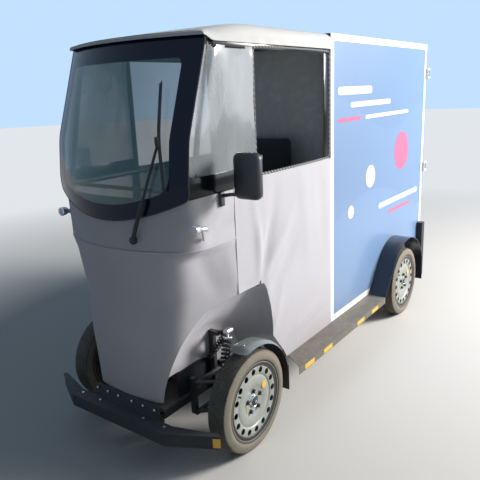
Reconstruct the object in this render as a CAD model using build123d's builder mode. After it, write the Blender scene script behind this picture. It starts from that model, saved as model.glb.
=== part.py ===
"""Four-wheeled enclosed cargo bike: a fabric-skinned riding cab in front of a panelled cargo box.

Units are mm. X is across the vehicle and +X is the rider's left, the front faces -Y and Z is up.
The origin is on the ground under the middle of the whole length.
"""
from build123d import *
from math import cos, radians, sin
import os

os.makedirs("parts", exist_ok=True)

# Overall layout
wheelbase = 2120
front_overhang = 455
rear_overhang = 745
front_axle_y = front_overhang - (front_overhang + wheelbase + rear_overhang) / 2
rear_axle_y = front_axle_y + wheelbase
rear_end_y = rear_axle_y + rear_overhang
front_end_y = front_axle_y - front_overhang

# Wheels and tyres
tyre_radius = 271
tyre_width = 115
tyre_wall = 9
bead_radius = 190
flange_radius = 206
rim_width = 104
rim_wall = 4
wheel_x = 503
axle_z = tyre_radius
hub_radius = 42
hub_length = 52
stub_radius = 12
stub_fit = 0.05
seat_gap = 0.3
vent_holes = 16
vent_radius = 12
vent_circle = 148
disc_brake_radius = 92

# Steering and front suspension
kingpin_x = 430
kingpin_radius = 8
kingpin_fit = 0.05
lower_arm_z = 186
upper_arm_z = 350
arm_tube_radius = 11
arm_eye_radius = 17
arm_eye_height = 18
arm_spread = 120
steer_arm_length = 84
steer_arm_z = 226

# Chassis
rail_width = 40
rail_height = 40
rail_top_z = 275
floor_thickness = 6
tower_outer_x = 258
tower_top_z = 575

# Cab
cab_half_width = 440
skin = 6
nose_bottom_z = 325
ridge_z = 1112
belt_z = 1372
seam_station = 50
arch_inner_x = 224
cab_tube_radius = 13
rail_tube_radius = 12
stay_tube_radius = 10
cab_top_z = 2040
roof_half = cab_half_width + 8
roof_top_z = 2112
window_front_station = 240
glass_thickness = 5

# Cargo box
box_front_station = 1055
box_length = 1730
box_half_width = 440
box_bottom_z = 285
box_top_z = 2112
edge_bar = 40
panel = 20
panel_recess = 2
door_gap = 5
door_thickness = 22

# Running boards, mudguards and bumpers
board_width = 135
board_lip = 45
sheet = 3
mudguard_outer_x = 578
rear_guard_radius = 358
front_guard_radius = 318
front_guard_half = 60

floor_z = rail_top_z + floor_thickness
rail_outer_x = arch_inner_x + sheet
rail_x = rail_outer_x - rail_width / 2
box_front_y = front_axle_y + box_front_station
box_rear_y = box_front_y + box_length


def station(distance):
    """Y of a place that lies this far behind the front axle."""
    return front_axle_y + distance


def write(shape, name):
    """Label one finished piece and write its file."""
    shape.label = name
    export_step(shape, f"parts/{name}.step")


def write_pair(shape, name):
    """Write the left piece and its mirror image for the right."""
    write(shape, f"{name}_left")
    write(mirror(shape, about=Plane.YZ), f"{name}_right")


def across(origin):
    """Plane whose local X runs along +X and local Y along +Z, for sections about a wheel axis."""
    return Plane(origin=origin, x_dir=(1, 0, 0), z_dir=(0, -1, 0))


def rod(start, end, radius):
    """Add one straight round bar from start to end to the part in hand."""
    run = Vector(*end) - Vector(*start)
    with Locations(Plane(origin=Vector(*start), z_dir=run)):
        Cylinder(radius, run.length, align=(Align.CENTER, Align.CENTER, Align.MIN))


def bent_tube(points, bend, radius):
    """Add one bent round tube along flat runs to the part in hand."""
    with BuildLine() as path:
        FilletPolyline(*points, radius=bend)
    with BuildSketch(Plane(origin=path.line @ 0, z_dir=path.line % 0)) as section:
        Circle(radius)
    sweep(sections=section.sketch, path=path.line)


def block(low, high):
    """Add a square-cut block between two corners to the part in hand."""
    middle = (Vector(*low) + Vector(*high)) / 2
    size = Vector(*high) - Vector(*low)
    with Locations(middle):
        Box(*size)


# Wheels: one tyre and one dished steel rim with its hub, repeated at four corners
wheel_corners = (
    ("front_left", 1, front_axle_y),
    ("front_right", -1, front_axle_y),
    ("rear_left", 1, rear_axle_y),
    ("rear_right", -1, rear_axle_y),
)
half_tyre = tyre_width / 2
half_rim = rim_width / 2
bead_gap_radius = bead_radius + seat_gap
bead_outer_x = half_rim - rim_wall - seat_gap
bead_inner_x = bead_outer_x - tyre_wall - 2
tread_half = half_tyre - 9
shoulder_radius = tyre_radius - 6
bulge_radius = (tyre_radius + bead_radius) / 2
hub_face_x = 33

for corner, sign, axle_y in wheel_corners:
    centre = (wheel_x, axle_y, axle_z)
    axle = Axis(centre, (1, 0, 0))

    with BuildPart() as tyre:
        with BuildSketch(across(centre)):
            with BuildLine():
                Line((bead_outer_x, bead_gap_radius), (bead_outer_x, flange_radius))
                ThreePointArc((bead_outer_x, flange_radius), (half_tyre, bulge_radius), (tread_half, shoulder_radius))
                ThreePointArc((tread_half, shoulder_radius), (0, tyre_radius), (-tread_half, shoulder_radius))
                ThreePointArc((-tread_half, shoulder_radius), (-half_tyre, bulge_radius), (-bead_outer_x, flange_radius))
                Line((-bead_outer_x, flange_radius), (-bead_outer_x, bead_gap_radius))
                Line((-bead_outer_x, bead_gap_radius), (-bead_inner_x, bead_gap_radius))
                ThreePointArc(
                    (-bead_inner_x, bead_gap_radius),
                    (tyre_wall - half_tyre, bulge_radius),
                    (tyre_wall - tread_half, shoulder_radius - tyre_wall),
                )
                Line(
                    (tyre_wall - tread_half, shoulder_radius - tyre_wall),
                    (tread_half - tyre_wall, shoulder_radius - tyre_wall),
                )
                ThreePointArc(
                    (tread_half - tyre_wall, shoulder_radius - tyre_wall),
                    (half_tyre - tyre_wall, bulge_radius),
                    (bead_inner_x, bead_gap_radius),
                )
                Line((bead_inner_x, bead_gap_radius), (bead_outer_x, bead_gap_radius))
            make_face()
        revolve(axis=axle)

    with BuildPart() as rim:
        # Barrel with its two flanges
        with BuildSketch(across(centre)):
            with BuildLine():
                Polyline(
                    (half_rim, flange_radius),
                    (half_rim - rim_wall, flange_radius),
                    (half_rim - rim_wall, bead_radius),
                    (rim_wall - half_rim, bead_radius),
                    (rim_wall - half_rim, flange_radius),
                    (-half_rim, flange_radius),
                    (-half_rim, bead_radius - rim_wall),
                    (half_rim, bead_radius - rim_wall),
                    close=True,
                )
            make_face()
        revolve(axis=axle)
        # Dished disc: outer ring with the vent holes, then the raised hub face
        with BuildSketch(across(centre)):
            with BuildLine():
                Polyline(
                    (10, bead_radius - rim_wall),
                    (24, bead_radius - 24),
                    (27, 122),
                    (18, 100),
                    (hub_face_x, 78),
                    (hub_face_x, 0),
                    (hub_face_x - rim_wall, 0),
                    (hub_face_x - rim_wall, 76),
                    (18 - rim_wall - 1, 98),
                    (23, 124),
                    (20, bead_radius - 27),
                    (4, bead_radius - rim_wall),
                    close=True,
                )
            make_face()
        revolve(axis=axle)
        with BuildSketch(Plane(origin=centre, x_dir=(0, 1, 0), z_dir=(1, 0, 0))):
            with PolarLocations(vent_circle, vent_holes):
                Circle(vent_radius)
        extrude(amount=half_rim, mode=Mode.SUBTRACT)
        # Hub, brake disc and centre cap; the hub turns on the stub axle
        with BuildSketch(across(centre)):
            with BuildLine():
                Polyline(
                    (hub_face_x + 12, 0),
                    (hub_face_x + 12, 24),
                    (hub_face_x, 28),
                    (hub_face_x - rim_wall, hub_radius),
                    (hub_face_x - hub_length + 10, hub_radius),
                    (hub_face_x - hub_length + 10, disc_brake_radius),
                    (hub_face_x - hub_length + 6, disc_brake_radius),
                    (hub_face_x - hub_length + 6, hub_radius),
                    (hub_face_x - hub_length, hub_radius),
                    (hub_face_x - hub_length, stub_radius + stub_fit),
                    (hub_face_x - rim_wall, stub_radius + stub_fit),
                    (hub_face_x - rim_wall, 0),
                    close=True,
                )
            make_face()
        revolve(axis=axle)

    for piece, name in ((tyre.part, "tyre"), (rim.part, "rim")):
        write(piece if sign > 0 else mirror(piece, about=Plane.YZ), f"{name}_{corner}")

# Steering knuckle: upright on the kingpin, stub axle, caliper and steering arm
carrier_radius = 30
stub_end_x = wheel_x + hub_face_x - rim_wall - 1
hub_inner_x = wheel_x + hub_face_x - hub_length
upright_low_z = lower_arm_z + arm_eye_height / 2 + 2
upright_high_z = upper_arm_z - arm_eye_height / 2 - 2
with BuildPart() as knuckle:
    rod((kingpin_x, front_axle_y, upright_low_z), (kingpin_x, front_axle_y, upright_high_z), 18)
    rod(
        (kingpin_x, front_axle_y, lower_arm_z - arm_eye_height / 2 - 6),
        (kingpin_x, front_axle_y, upper_arm_z + arm_eye_height / 2 + 6),
        kingpin_radius,
    )
    rod((kingpin_x, front_axle_y, axle_z), (hub_inner_x - 5, front_axle_y, axle_z), carrier_radius)
    rod((hub_inner_x - 5, front_axle_y, axle_z), (stub_end_x, front_axle_y, axle_z), stub_radius)
    # Brake caliper over the rear of the disc
    brake_x = hub_inner_x + 8
    caliper_y = front_axle_y - disc_brake_radius
    block((brake_x - 24, caliper_y - 26, axle_z - 24), (brake_x - 8, caliper_y + 20, axle_z + 24))
    block((brake_x + 8, caliper_y - 26, axle_z - 24), (brake_x + 18, caliper_y + 20, axle_z + 24))
    block((brake_x - 24, caliper_y - 26, axle_z - 24), (brake_x + 18, caliper_y - 12, axle_z + 24))
    block((kingpin_x - 6, caliper_y - 4, axle_z - 12), (brake_x - 10, front_axle_y, axle_z + 12))
    # Steering arm to the rear
    block(
        (kingpin_x - 14, front_axle_y, steer_arm_z),
        (kingpin_x + 6, front_axle_y + steer_arm_length + 12, steer_arm_z + 10),
    )
write_pair(knuckle.part, "knuckle")

# Front mudguard: a crowned strip over the rear half of the wheel, its two stays and a rubber flap
guard_start = 103
guard_end = 8
flap_low_z = 172
stay_radius = 4
guard_stays = (
    # angle of the tip, then root and elbow as (behind the axle, above the axle)
    (34, (carrier_radius + 1.6, 6), (120, 69)),
    (78, (8, carrier_radius + 0.6), (30, 149)),
)
with BuildPart() as front_mudguard:
    with BuildSketch(across((wheel_x + 7, front_axle_y, axle_z))):
        with BuildLine():
            crown = ThreePointArc(
                (-front_guard_half, front_guard_radius - 10),
                (0, front_guard_radius),
                (front_guard_half, front_guard_radius - 10),
            )
            offset(crown, amount=-sheet, side=Side.RIGHT)
        make_face()
    revolve(axis=Axis((wheel_x, front_axle_y, axle_z), (1, 0, 0)), revolution_arc=360)
    # Keep the arc from just ahead of the top to the rear
    keep = 500
    with BuildSketch(Plane(origin=(wheel_x, front_axle_y, axle_z), x_dir=(0, 1, 0), z_dir=(1, 0, 0))):
        with BuildLine():
            Polyline(
                (0, 0),
                (keep * cos(radians(guard_start)), keep * sin(radians(guard_start))),
                (keep, keep),
                (keep * cos(radians(guard_end)), keep * sin(radians(guard_end))),
                close=True,
            )
        make_face()
    extrude(amount=keep, both=True, mode=Mode.INTERSECT)
    # Rubber flap below the rear end
    flap_y = front_axle_y + front_guard_radius - 2 * sheet
    block(
        (wheel_x + 7 - front_guard_half + 4, flap_y - 5, flap_low_z),
        (wheel_x + 7 + front_guard_half - 4, flap_y, axle_z + 68),
    )
    # Stays from the upright, inboard of the tyre
    stay_x = wheel_x - half_tyre - 9
    reach = front_guard_radius - 8
    for angle, root, elbow in guard_stays:
        tip_y = front_axle_y + reach * cos(radians(angle))
        tip_z = axle_z + reach * sin(radians(angle))
        root_point = (hub_inner_x - 18, front_axle_y + root[0], axle_z + root[1])
        elbow_point = (stay_x, front_axle_y + elbow[0], axle_z + elbow[1])
        rod(root_point, elbow_point, stay_radius)
        rod(elbow_point, (stay_x, tip_y, tip_z), stay_radius)
        rod((stay_x, tip_y, tip_z), (wheel_x - half_tyre + 6, tip_y, tip_z), stay_radius)
write_pair(front_mudguard.part, "front_mudguard")

# Wishbones: two A-shaped arms a side, from the rail brackets to the kingpin eyes
arm_root_radius = arm_tube_radius + 2
arm_root_x = tower_outer_x + arm_root_radius + seat_gap
with BuildPart() as wishbones:
    for eye_z in (lower_arm_z, upper_arm_z):
        for spread in (-arm_spread, arm_spread):
            rod((arm_root_x, front_axle_y + spread, eye_z), (kingpin_x - 8, front_axle_y, eye_z), arm_tube_radius)
        rod(
            (arm_root_x, front_axle_y - arm_spread - 22, eye_z),
            (arm_root_x, front_axle_y + arm_spread + 22, eye_z),
            arm_root_radius,
        )
        rod(
            (kingpin_x, front_axle_y, eye_z - arm_eye_height / 2),
            (kingpin_x, front_axle_y, eye_z + arm_eye_height / 2),
            arm_eye_radius,
        )
        with BuildSketch(Plane.XY.offset(eye_z - arm_eye_height)):
            with Locations((kingpin_x, front_axle_y)):
                Circle(kingpin_radius + kingpin_fit)
        extrude(amount=2 * arm_eye_height, mode=Mode.SUBTRACT)
    # Cross plate of the lower arm, which carries the foot of the shock absorber
    block(
        (arm_root_x + 46, front_axle_y - 60, lower_arm_z - 6),
        (arm_root_x + 92, front_axle_y + 60, lower_arm_z + 6),
    )
    mirror(about=Plane.YZ)
write(wishbones.part, "wishbones")

# Coil-over shock absorber with a ribbed sleeve, leaning inwards to the tower
shock_bracket = 20
shock_foot = Vector(arm_root_x + 69, front_axle_y - 30, lower_arm_z + 10.2)
shock_head = Vector(tower_outer_x + 22, front_axle_y + 55, tower_top_z - shock_bracket - 3)
shock_axis = shock_head - shock_foot
shock_plane = Plane(origin=shock_foot, z_dir=shock_axis)
shock_length = shock_axis.length
coil_ribs = 9
coil_radius = 29
with BuildPart() as shock:
    with BuildSketch(shock_plane):
        Circle(14)
    extrude(amount=shock_length * 0.42)
    with BuildSketch(shock_plane):
        Circle(8)
    extrude(amount=shock_length)
    coil_start = shock_length * 0.34
    coil_pitch = (shock_length * 0.93 - coil_start) / coil_ribs
    profile_plane = Plane(origin=shock_foot, x_dir=shock_plane.x_dir, z_dir=shock_plane.y_dir * -1)
    with BuildSketch(profile_plane):
        with BuildLine():
            for rib in range(coil_ribs):
                low = coil_start + rib * coil_pitch
                Polyline(
                    (coil_radius - 6, low),
                    (coil_radius, low + coil_pitch / 2),
                    (coil_radius - 6, low + coil_pitch),
                )
            Polyline(
                (coil_radius - 6, coil_start + coil_ribs * coil_pitch),
                (0, coil_start + coil_ribs * coil_pitch),
                (0, coil_start),
                (coil_radius - 6, coil_start),
            )
        make_face()
    revolve(axis=Axis(shock_foot, shock_axis))
    mirror(about=Plane.YZ)
write(shock.part, "shocks")

# Tie rod: runs across behind the axle under both steering arms
tie_rod_y = front_axle_y + steer_arm_length
tie_rod_z = steer_arm_z - 14
tie_end_x = kingpin_x - 4
with BuildPart() as tie_rod:
    rod((-tie_end_x, tie_rod_y, tie_rod_z), (tie_end_x, tie_rod_y, tie_rod_z), 7)
    for side in (-1, 1):
        rod((side * tie_end_x, tie_rod_y, tie_rod_z - 8), (side * tie_end_x, tie_rod_y, steer_arm_z - seat_gap), 13)
write(tie_rod.part, "tie_rod")

# Chassis: two long rails, cross members, front towers, suspension brackets and rear outriggers
rail_low_z = rail_top_z - rail_height
rail_front_y = station(-330)
rail_rear_y = box_rear_y
cross_stations = (-310, 250, 700, 1075, 1560, 1880, 2360, 2740)
with BuildPart() as chassis_frame:
    for side in (-1, 1):
        near, far = sorted((side * (rail_x - rail_width / 2), side * rail_outer_x))
        block((near, rail_front_y, rail_low_z), (far, rail_rear_y, rail_top_z))
        # Tower beside each front wheel, with the bracket of the shock absorber
        near, far = sorted((side * rail_outer_x, side * tower_outer_x))
        for offset_y in (-arm_spread - 12, 55 - 12, arm_spread - 12):
            top = tower_top_z if offset_y == 55 - 12 else upper_arm_z + 20
            block((near, station(offset_y), lower_arm_z - 20), (far, station(offset_y + 24), top))
        near, far = sorted((side * tower_outer_x, side * (tower_outer_x + 34)))
        block((near, station(40), tower_top_z - shock_bracket), (far, station(70), tower_top_z))
        # Box outriggers
        for outrigger in (1130, 1610, 2690):
            near, far = sorted((side * rail_outer_x, side * (box_half_width - 4)))
            block((near, station(outrigger), rail_low_z + 10), (far, station(outrigger + 30), rail_top_z))
    for cross in cross_stations:
        block(
            (-(rail_x - rail_width / 2), station(cross), rail_low_z),
            (rail_x - rail_width / 2, station(cross + 30), rail_top_z - 4),
        )
write(chassis_frame.part, "chassis_frame")

# Rear axle: a beam under the rails on two trailing arms, with a stub for each wheel
with BuildPart() as rear_axle:
    beam_z = axle_z - 70
    beam_x = wheel_x - half_tyre - 26
    block((-beam_x, rear_axle_y - 22, beam_z - 22), (beam_x, rear_axle_y + 22, beam_z + 22))
    for side in (-1, 1):
        rod(
            (side * (box_half_width + 3), rear_axle_y, axle_z),
            (side * (hub_inner_x - 5), rear_axle_y, axle_z),
            carrier_radius,
        )
        rod((side * (beam_x - 20), rear_axle_y, axle_z), (side * stub_end_x, rear_axle_y, axle_z), stub_radius)
        near, far = sorted((side * (beam_x - 30), side * beam_x))
        block((near, rear_axle_y - 22, beam_z), (far, rear_axle_y + 22, box_bottom_z - 2))
        near, far = sorted((side * (rail_x - 18), side * (rail_x + 18)))
        block((near, rear_axle_y - 360, rail_low_z - 34), (far, rear_axle_y, rail_low_z - 8))
        block((near, rear_axle_y - 360, rail_low_z - 34), (far, rear_axle_y - 320, rail_low_z))
        rod(
            (side * rail_x, rear_axle_y + 60, beam_z + 10),
            (side * rail_x, rear_axle_y + 60, rail_low_z),
            20,
        )
        block((near, rear_axle_y, beam_z - 10), (far, rear_axle_y + 80, beam_z + 12))
write(rear_axle.part, "rear_axle")

# Cab floor: narrow between the front wheels, full width behind them
wide_floor_station = 500
with BuildPart() as cab_floor:
    with BuildSketch(Plane.XY.offset(rail_top_z)):
        with BuildLine():
            Polyline(
                (-arch_inner_x + 4, station(-320)),
                (arch_inner_x - 4, station(-320)),
                (arch_inner_x - 4, station(wide_floor_station)),
                (cab_half_width, station(wide_floor_station)),
                (cab_half_width, box_front_y),
                (-cab_half_width, box_front_y),
                (-cab_half_width, station(wide_floor_station)),
                (-arch_inner_x + 4, station(wide_floor_station)),
                close=True,
            )
        make_face()
    extrude(amount=floor_thickness)
write(cab_floor.part, "cab_floor")

# Wheel well linings: inner wall, ceiling and rear wall of each front arch
lining_rear_station = 366
lining_top_z = 800
with BuildPart() as wheel_lining:
    with BuildSketch(Plane(origin=(arch_inner_x, 0, 0), x_dir=(0, 1, 0), z_dir=(1, 0, 0))):
        with BuildLine():
            Polyline(
                (station(seam_station), floor_z),
                (station(seam_station), lining_top_z),
                (station(lining_rear_station), lining_top_z - 34),
                (station(lining_rear_station), 470),
                (station(wide_floor_station - 14), floor_z + 30),
                (station(wide_floor_station - 14), floor_z),
                close=True,
            )
        make_face()
    extrude(amount=cab_half_width - skin - arch_inner_x)
    with BuildSketch(Plane(origin=(arch_inner_x + sheet, 0, 0), x_dir=(0, 1, 0), z_dir=(1, 0, 0))):
        with BuildLine():
            Polyline(
                (station(seam_station - 5), floor_z - 5),
                (station(seam_station - 5), lining_top_z - sheet),
                (station(lining_rear_station - sheet), lining_top_z - 34 - sheet),
                (station(lining_rear_station - sheet), 470),
                (station(wide_floor_station - 14 - sheet), floor_z + 30 - sheet),
                (station(wide_floor_station - 14 - sheet), floor_z - 5),
                close=True,
            )
        make_face()
    extrude(amount=cab_half_width, mode=Mode.SUBTRACT)
    mirror(about=Plane.YZ)
write(wheel_lining.part, "wheel_linings")

# Nose cover: sections by height, each with the half width and station of its front corners
nose_sections = (
    # height, corner half width, corner station, forward bow of the middle, corner rounding
    (nose_bottom_z, 230, -340, 22, 45),
    (600, 305, -304, 60, 60),
    (850, 336, -280, 90, 70),
    (ridge_z, 366, -306, 80, 70),
)
# The wheel arch opens outwards from the inner wall: distance across and radius about the front axle
arch_profile = ((arch_inner_x, 330), (262, 372), (320, 450), (373, 514), (440, 548), (700, 548))


def nose_loft(inset, spare):
    """Solid of the nose inside the skin, longer by spare at its open ends."""
    with BuildPart() as body:
        for height, half, corner, bow, rounding in nose_sections:
            end_shift = -spare if height == nose_bottom_z else (spare if height == ridge_z else 0)
            with BuildSketch(Plane.XY.offset(height + end_shift)) as outline:
                with BuildLine():
                    front_y = station(corner) + inset
                    ThreePointArc(
                        (-(half - inset), front_y), (0, front_y - bow), (half - inset, front_y)
                    )
                    Polyline(
                        (half - inset, front_y),
                        (cab_half_width - inset, station(seam_station) + spare),
                        (inset - cab_half_width, station(seam_station) + spare),
                        (inset - half, front_y),
                    )
                make_face()
                fillet(outline.vertices().group_by(Axis.Y)[0], radius=rounding)
        loft()
    return body.part


def arch_space(growth):
    """Solid of the turning room of one front wheel, larger all round by growth."""
    with BuildPart() as space:
        with BuildSketch(across((0, front_axle_y, axle_z))):
            with BuildLine():
                first_x = arch_profile[0][0] - growth
                rise = [(max(x - growth, first_x), radius + growth) for x, radius in arch_profile]
                Polyline((first_x, 0), *rise, (arch_profile[-1][0], 0), close=True)
            make_face()
        revolve(axis=Axis((0, front_axle_y, axle_z), (1, 0, 0)))
    return space.part


with BuildPart() as nose_hollow:
    add(nose_loft(skin, 2))
    add(arch_space(skin), mode=Mode.SUBTRACT)
    add(mirror(arch_space(skin), about=Plane.YZ), mode=Mode.SUBTRACT)

with BuildPart() as nose_cover:
    add(nose_loft(0, 0))
    add(arch_space(0), mode=Mode.SUBTRACT)
    add(mirror(arch_space(0), about=Plane.YZ), mode=Mode.SUBTRACT)
    add(nose_hollow.part, mode=Mode.SUBTRACT)
write(nose_cover.part, "nose_cover")

# Cowl: from the piped ridge up to the belt line, with the lip over the nose
cowl_sections = (
    # height, corner half width, corner station, forward bow of the middle, corner rounding
    (ridge_z, 440, -262, 128, 90),
    (belt_z - 13, 440, -262, 104, 40),
)


def cowl_loft(inset, spare):
    """Solid of the cowl inside the skin, longer by spare at its open ends."""
    with BuildPart() as body:
        for height, half, corner, bow, rounding in cowl_sections:
            end_shift = -spare if height == ridge_z else spare
            with BuildSketch(Plane.XY.offset(height + end_shift)) as outline:
                with BuildLine():
                    front_y = station(corner) + inset
                    ThreePointArc(
                        (-(half - inset), front_y), (0, front_y - bow), (half - inset, front_y)
                    )
                    Polyline(
                        (half - inset, front_y),
                        (half - inset, station(seam_station) + spare),
                        (inset - half, station(seam_station) + spare),
                        (inset - half, front_y),
                    )
                make_face()
                fillet(outline.vertices().group_by(Axis.Y)[0], radius=rounding)
        loft()
    return body.part


with BuildPart() as cowl:
    add(cowl_loft(0, 0))
    add(cowl_loft(skin, 2), mode=Mode.SUBTRACT)
write(cowl.part, "cowl")

# Windscreen: one bowed sheet, parted into the clear pane and its black border
screen_sections = (
    # height, side station, forward bow of the middle
    (1190, -262, 118),
    (1416, -274, 104),
    (1610, -252, 100),
    (cab_top_z + 10, -96, 100),
)
screen_half = 440


def screen_sheet():
    """The whole windscreen before it is trimmed to its outline."""
    with BuildPart() as body:
        for height, side, bow in screen_sections:
            with BuildSketch(Plane.XY.offset(height)):
                with BuildLine():
                    outer = station(side) - 8
                    ThreePointArc((-screen_half, outer), (0, outer - bow), (screen_half, outer))
                    inner = outer + glass_thickness
                    ThreePointArc((-screen_half, inner), (0, inner - bow), (screen_half, inner))
                    Line((-screen_half, outer), (-screen_half, inner))
                    Line((screen_half, outer), (screen_half, inner))
                make_face()
        loft()
    return body.part


def screen_outline(border):
    """Prism of the windscreen's outline in front view, smaller all round by border."""
    with BuildPart() as prism:
        with BuildSketch(Plane.XZ.offset(-front_axle_y)) as outline:
            half = screen_half - border
            top = cab_top_z - 4 - border * 0.6
            low_side = 1290 + border
            low_middle = 1222 + border
            with BuildLine():
                ThreePointArc((-half, low_side), (0, low_middle), (half, low_side))
                Polyline((half, low_side), (half, top), (-half, top), (-half, low_side))
            make_face()
            fillet(outline.vertices().group_by(Axis.Y)[0], radius=110 - border * 0.4)
            fillet(outline.vertices().group_by(Axis.Y)[-1], radius=30)
        extrude(amount=900, both=True)
    return prism.part


border_width = 62
with BuildPart() as windscreen_glass:
    add(screen_sheet())
    add(screen_outline(border_width), mode=Mode.INTERSECT)
write(windscreen_glass.part, "windscreen_glass")

with BuildPart() as windscreen_border:
    add(screen_sheet())
    add(screen_outline(0), mode=Mode.INTERSECT)
    add(screen_outline(border_width), mode=Mode.SUBTRACT)
write(windscreen_border.part, "windscreen_border")

# Side panel: flat fabric wall between the seam and the box, cut round the wheel arch
sill_z = belt_z + cab_tube_radius
with BuildPart() as side_panel:
    with BuildSketch(Plane(origin=(cab_half_width, 0, 0), x_dir=(0, 1, 0), z_dir=(1, 0, 0))):
        with BuildLine():
            Polyline(
                (station(seam_station), 816),
                (station(354), 776),
                (station(352), 470),
                (station(474), 317),
                (station(480), floor_z),
                (box_front_y, floor_z),
                (box_front_y, sill_z),
                (station(window_front_station), sill_z),
                (station(window_front_station), belt_z - 13),
                (station(seam_station), belt_z - 13),
                close=True,
            )
        make_face()
    extrude(amount=-skin)
write_pair(side_panel.part, "side_panel")

# Cab frame: hoops, belt rails and roof rails in bent steel tube
hoop_x = cab_half_width - skin - cab_tube_radius - 1
roof_rail_z = cab_top_z + 20
hoop_stations = (window_front_station, box_front_station - cab_tube_radius - 2)
pillar_foot = Vector(hoop_x, station(-232), belt_z)
pillar_head = Vector(hoop_x, station(-72), roof_rail_z)
with BuildPart() as cab_frame:
    for hoop in hoop_stations:
        bent_tube(
            (
                (-hoop_x, station(hoop), floor_z if hoop > wide_floor_station else lining_top_z),
                (-hoop_x, station(hoop), roof_rail_z),
                (hoop_x, station(hoop), roof_rail_z),
                (hoop_x, station(hoop), floor_z if hoop > wide_floor_station else lining_top_z),
            ),
            60,
            cab_tube_radius,
        )
    # Front hoop: leaning pillars and the header over the windscreen
    bent_tube(
        (
            (-pillar_foot.X, pillar_foot.Y, pillar_foot.Z),
            (-pillar_head.X, pillar_head.Y, pillar_head.Z),
            (pillar_head.X, pillar_head.Y, pillar_head.Z),
            (pillar_foot.X, pillar_foot.Y, pillar_foot.Z),
        ),
        60,
        cab_tube_radius,
    )
    for side in (-1, 1):
        rod(
            (side * hoop_x, pillar_foot.Y, belt_z),
            (side * hoop_x, station(hoop_stations[1]), belt_z),
            rail_tube_radius,
        )
        rod(
            (side * (hoop_x - 60), pillar_head.Y, roof_rail_z),
            (side * (hoop_x - 60), station(hoop_stations[1]), roof_rail_z),
            rail_tube_radius,
        )
        # Lower stays from the nose floor to the pillar foot
        knee = (side * 318, station(-232), ridge_z)
        rod((side * 150, station(-285), floor_z + 2.6), knee, stay_tube_radius)
        rod(knee, (side * hoop_x, pillar_foot.Y, belt_z), stay_tube_radius - 1)
    rod((-hoop_x, pillar_foot.Y, belt_z), (hoop_x, pillar_foot.Y, belt_z), stay_tube_radius)
write(cab_frame.part, "cab_frame")

# Side film: clear sheet tucked inside the roof's hem, from the windscreen's edge to the window opening
film_x = roof_half - skin - seat_gap
with BuildPart() as side_film:
    with BuildSketch(Plane(origin=(film_x, 0, 0), x_dir=(0, 1, 0), z_dir=(1, 0, 0))):
        with BuildLine():
            Polyline(
                (station(-258), belt_z + 16),
                (station(-262), 1500),
                (station(-240), 1620),
                (station(-84), cab_top_z - 6),
                (station(window_front_station), cab_top_z - 6),
                (station(window_front_station), belt_z + 16),
                close=True,
            )
        make_face()
    extrude(amount=-sheet)
    mirror(about=Plane.YZ)
write(side_film.part, "side_films")

# Roof cover: arched fabric over the cab, falling to a bowed hem over the windscreen
roof_hem_z = cab_top_z - 18
roof_front_side = -125.5
roof_front_middle = -225.5


def roof_form(inset, spare):
    """Solid under the roof cover, smaller by inset and longer by spare at its open sides."""
    half = roof_half - inset
    top = roof_top_z - inset
    with BuildPart() as body:
        with BuildSketch(Plane(origin=(-half, 0, 0), x_dir=(0, 1, 0), z_dir=(1, 0, 0))):
            with BuildLine():
                front = (station(roof_front_middle - 24), cab_top_z - 4 - inset)
                brow = (station(260), top)
                ThreePointArc(front, (station(-4), top - 16), brow)
                Polyline(
                    brow,
                    (box_front_y + spare, top),
                    (box_front_y + spare, roof_hem_z - spare),
                    (front[0], roof_hem_z - spare),
                    front,
                )
            make_face()
        extrude(amount=2 * half)
        with BuildSketch(Plane.XY.offset(roof_hem_z - spare)):
            with BuildLine():
                side_y = station(roof_front_side) + inset
                ThreePointArc((-half, side_y), (0, station(roof_front_middle) + inset), (half, side_y))
                Polyline((half, side_y), (half, box_front_y + spare), (-half, box_front_y + spare), (-half, side_y))
            make_face()
        extrude(amount=roof_top_z - roof_hem_z + 2 * spare, mode=Mode.INTERSECT)
    return body.part


roof_shape = roof_form(0, 0)
roof_hollow = roof_form(skin, 1)
with BuildPart() as roof_cover:
    add(roof_shape)
    add(roof_hollow, mode=Mode.SUBTRACT)
write(roof_cover.part, "roof_cover")

# Cargo box: square edge frame with panels let into it
bx, by0, by1, bz0, bz1 = box_half_width, box_front_y, box_rear_y, box_bottom_z, box_top_z
with BuildPart() as box_frame:
    block((-bx, by0, bz0), (bx, by1, bz1))
    with Locations((0, (by0 + by1) / 2, (bz0 + bz1) / 2)):
        width, depth, height = 2 * bx, by1 - by0, bz1 - bz0
        Box(width - 2 * edge_bar, depth + 2, height - 2 * edge_bar, mode=Mode.SUBTRACT)
        Box(width + 2, depth - 2 * edge_bar, height - 2 * edge_bar, mode=Mode.SUBTRACT)
        Box(width - 2 * edge_bar, depth - 2 * edge_bar, height + 2, mode=Mode.SUBTRACT)
write(box_frame.part, "box_frame")

with BuildPart() as box_floor:
    block((edge_bar - bx, by0 + edge_bar, bz0 + 4), (bx - edge_bar, by1 - edge_bar, bz0 + 4 + panel))
write(box_floor.part, "box_floor")

with BuildPart() as box_roof:
    top = bz1 - panel_recess
    block((edge_bar - bx, by0 + edge_bar, top - panel), (bx - edge_bar, by1 - edge_bar, top))
write(box_roof.part, "box_roof")

with BuildPart() as box_front_wall:
    front = by0 + panel_recess
    block((edge_bar - bx, front, bz0 + edge_bar), (bx - edge_bar, front + panel, bz1 - edge_bar))
write(box_front_wall.part, "box_front_wall")

with BuildPart() as box_side_wall:
    outer = bx - panel_recess
    block((outer - panel, by0 + edge_bar, bz0 + edge_bar), (outer, by1 - edge_bar, bz1 - edge_bar))
write_pair(box_side_wall.part, "box_side_wall")

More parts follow.
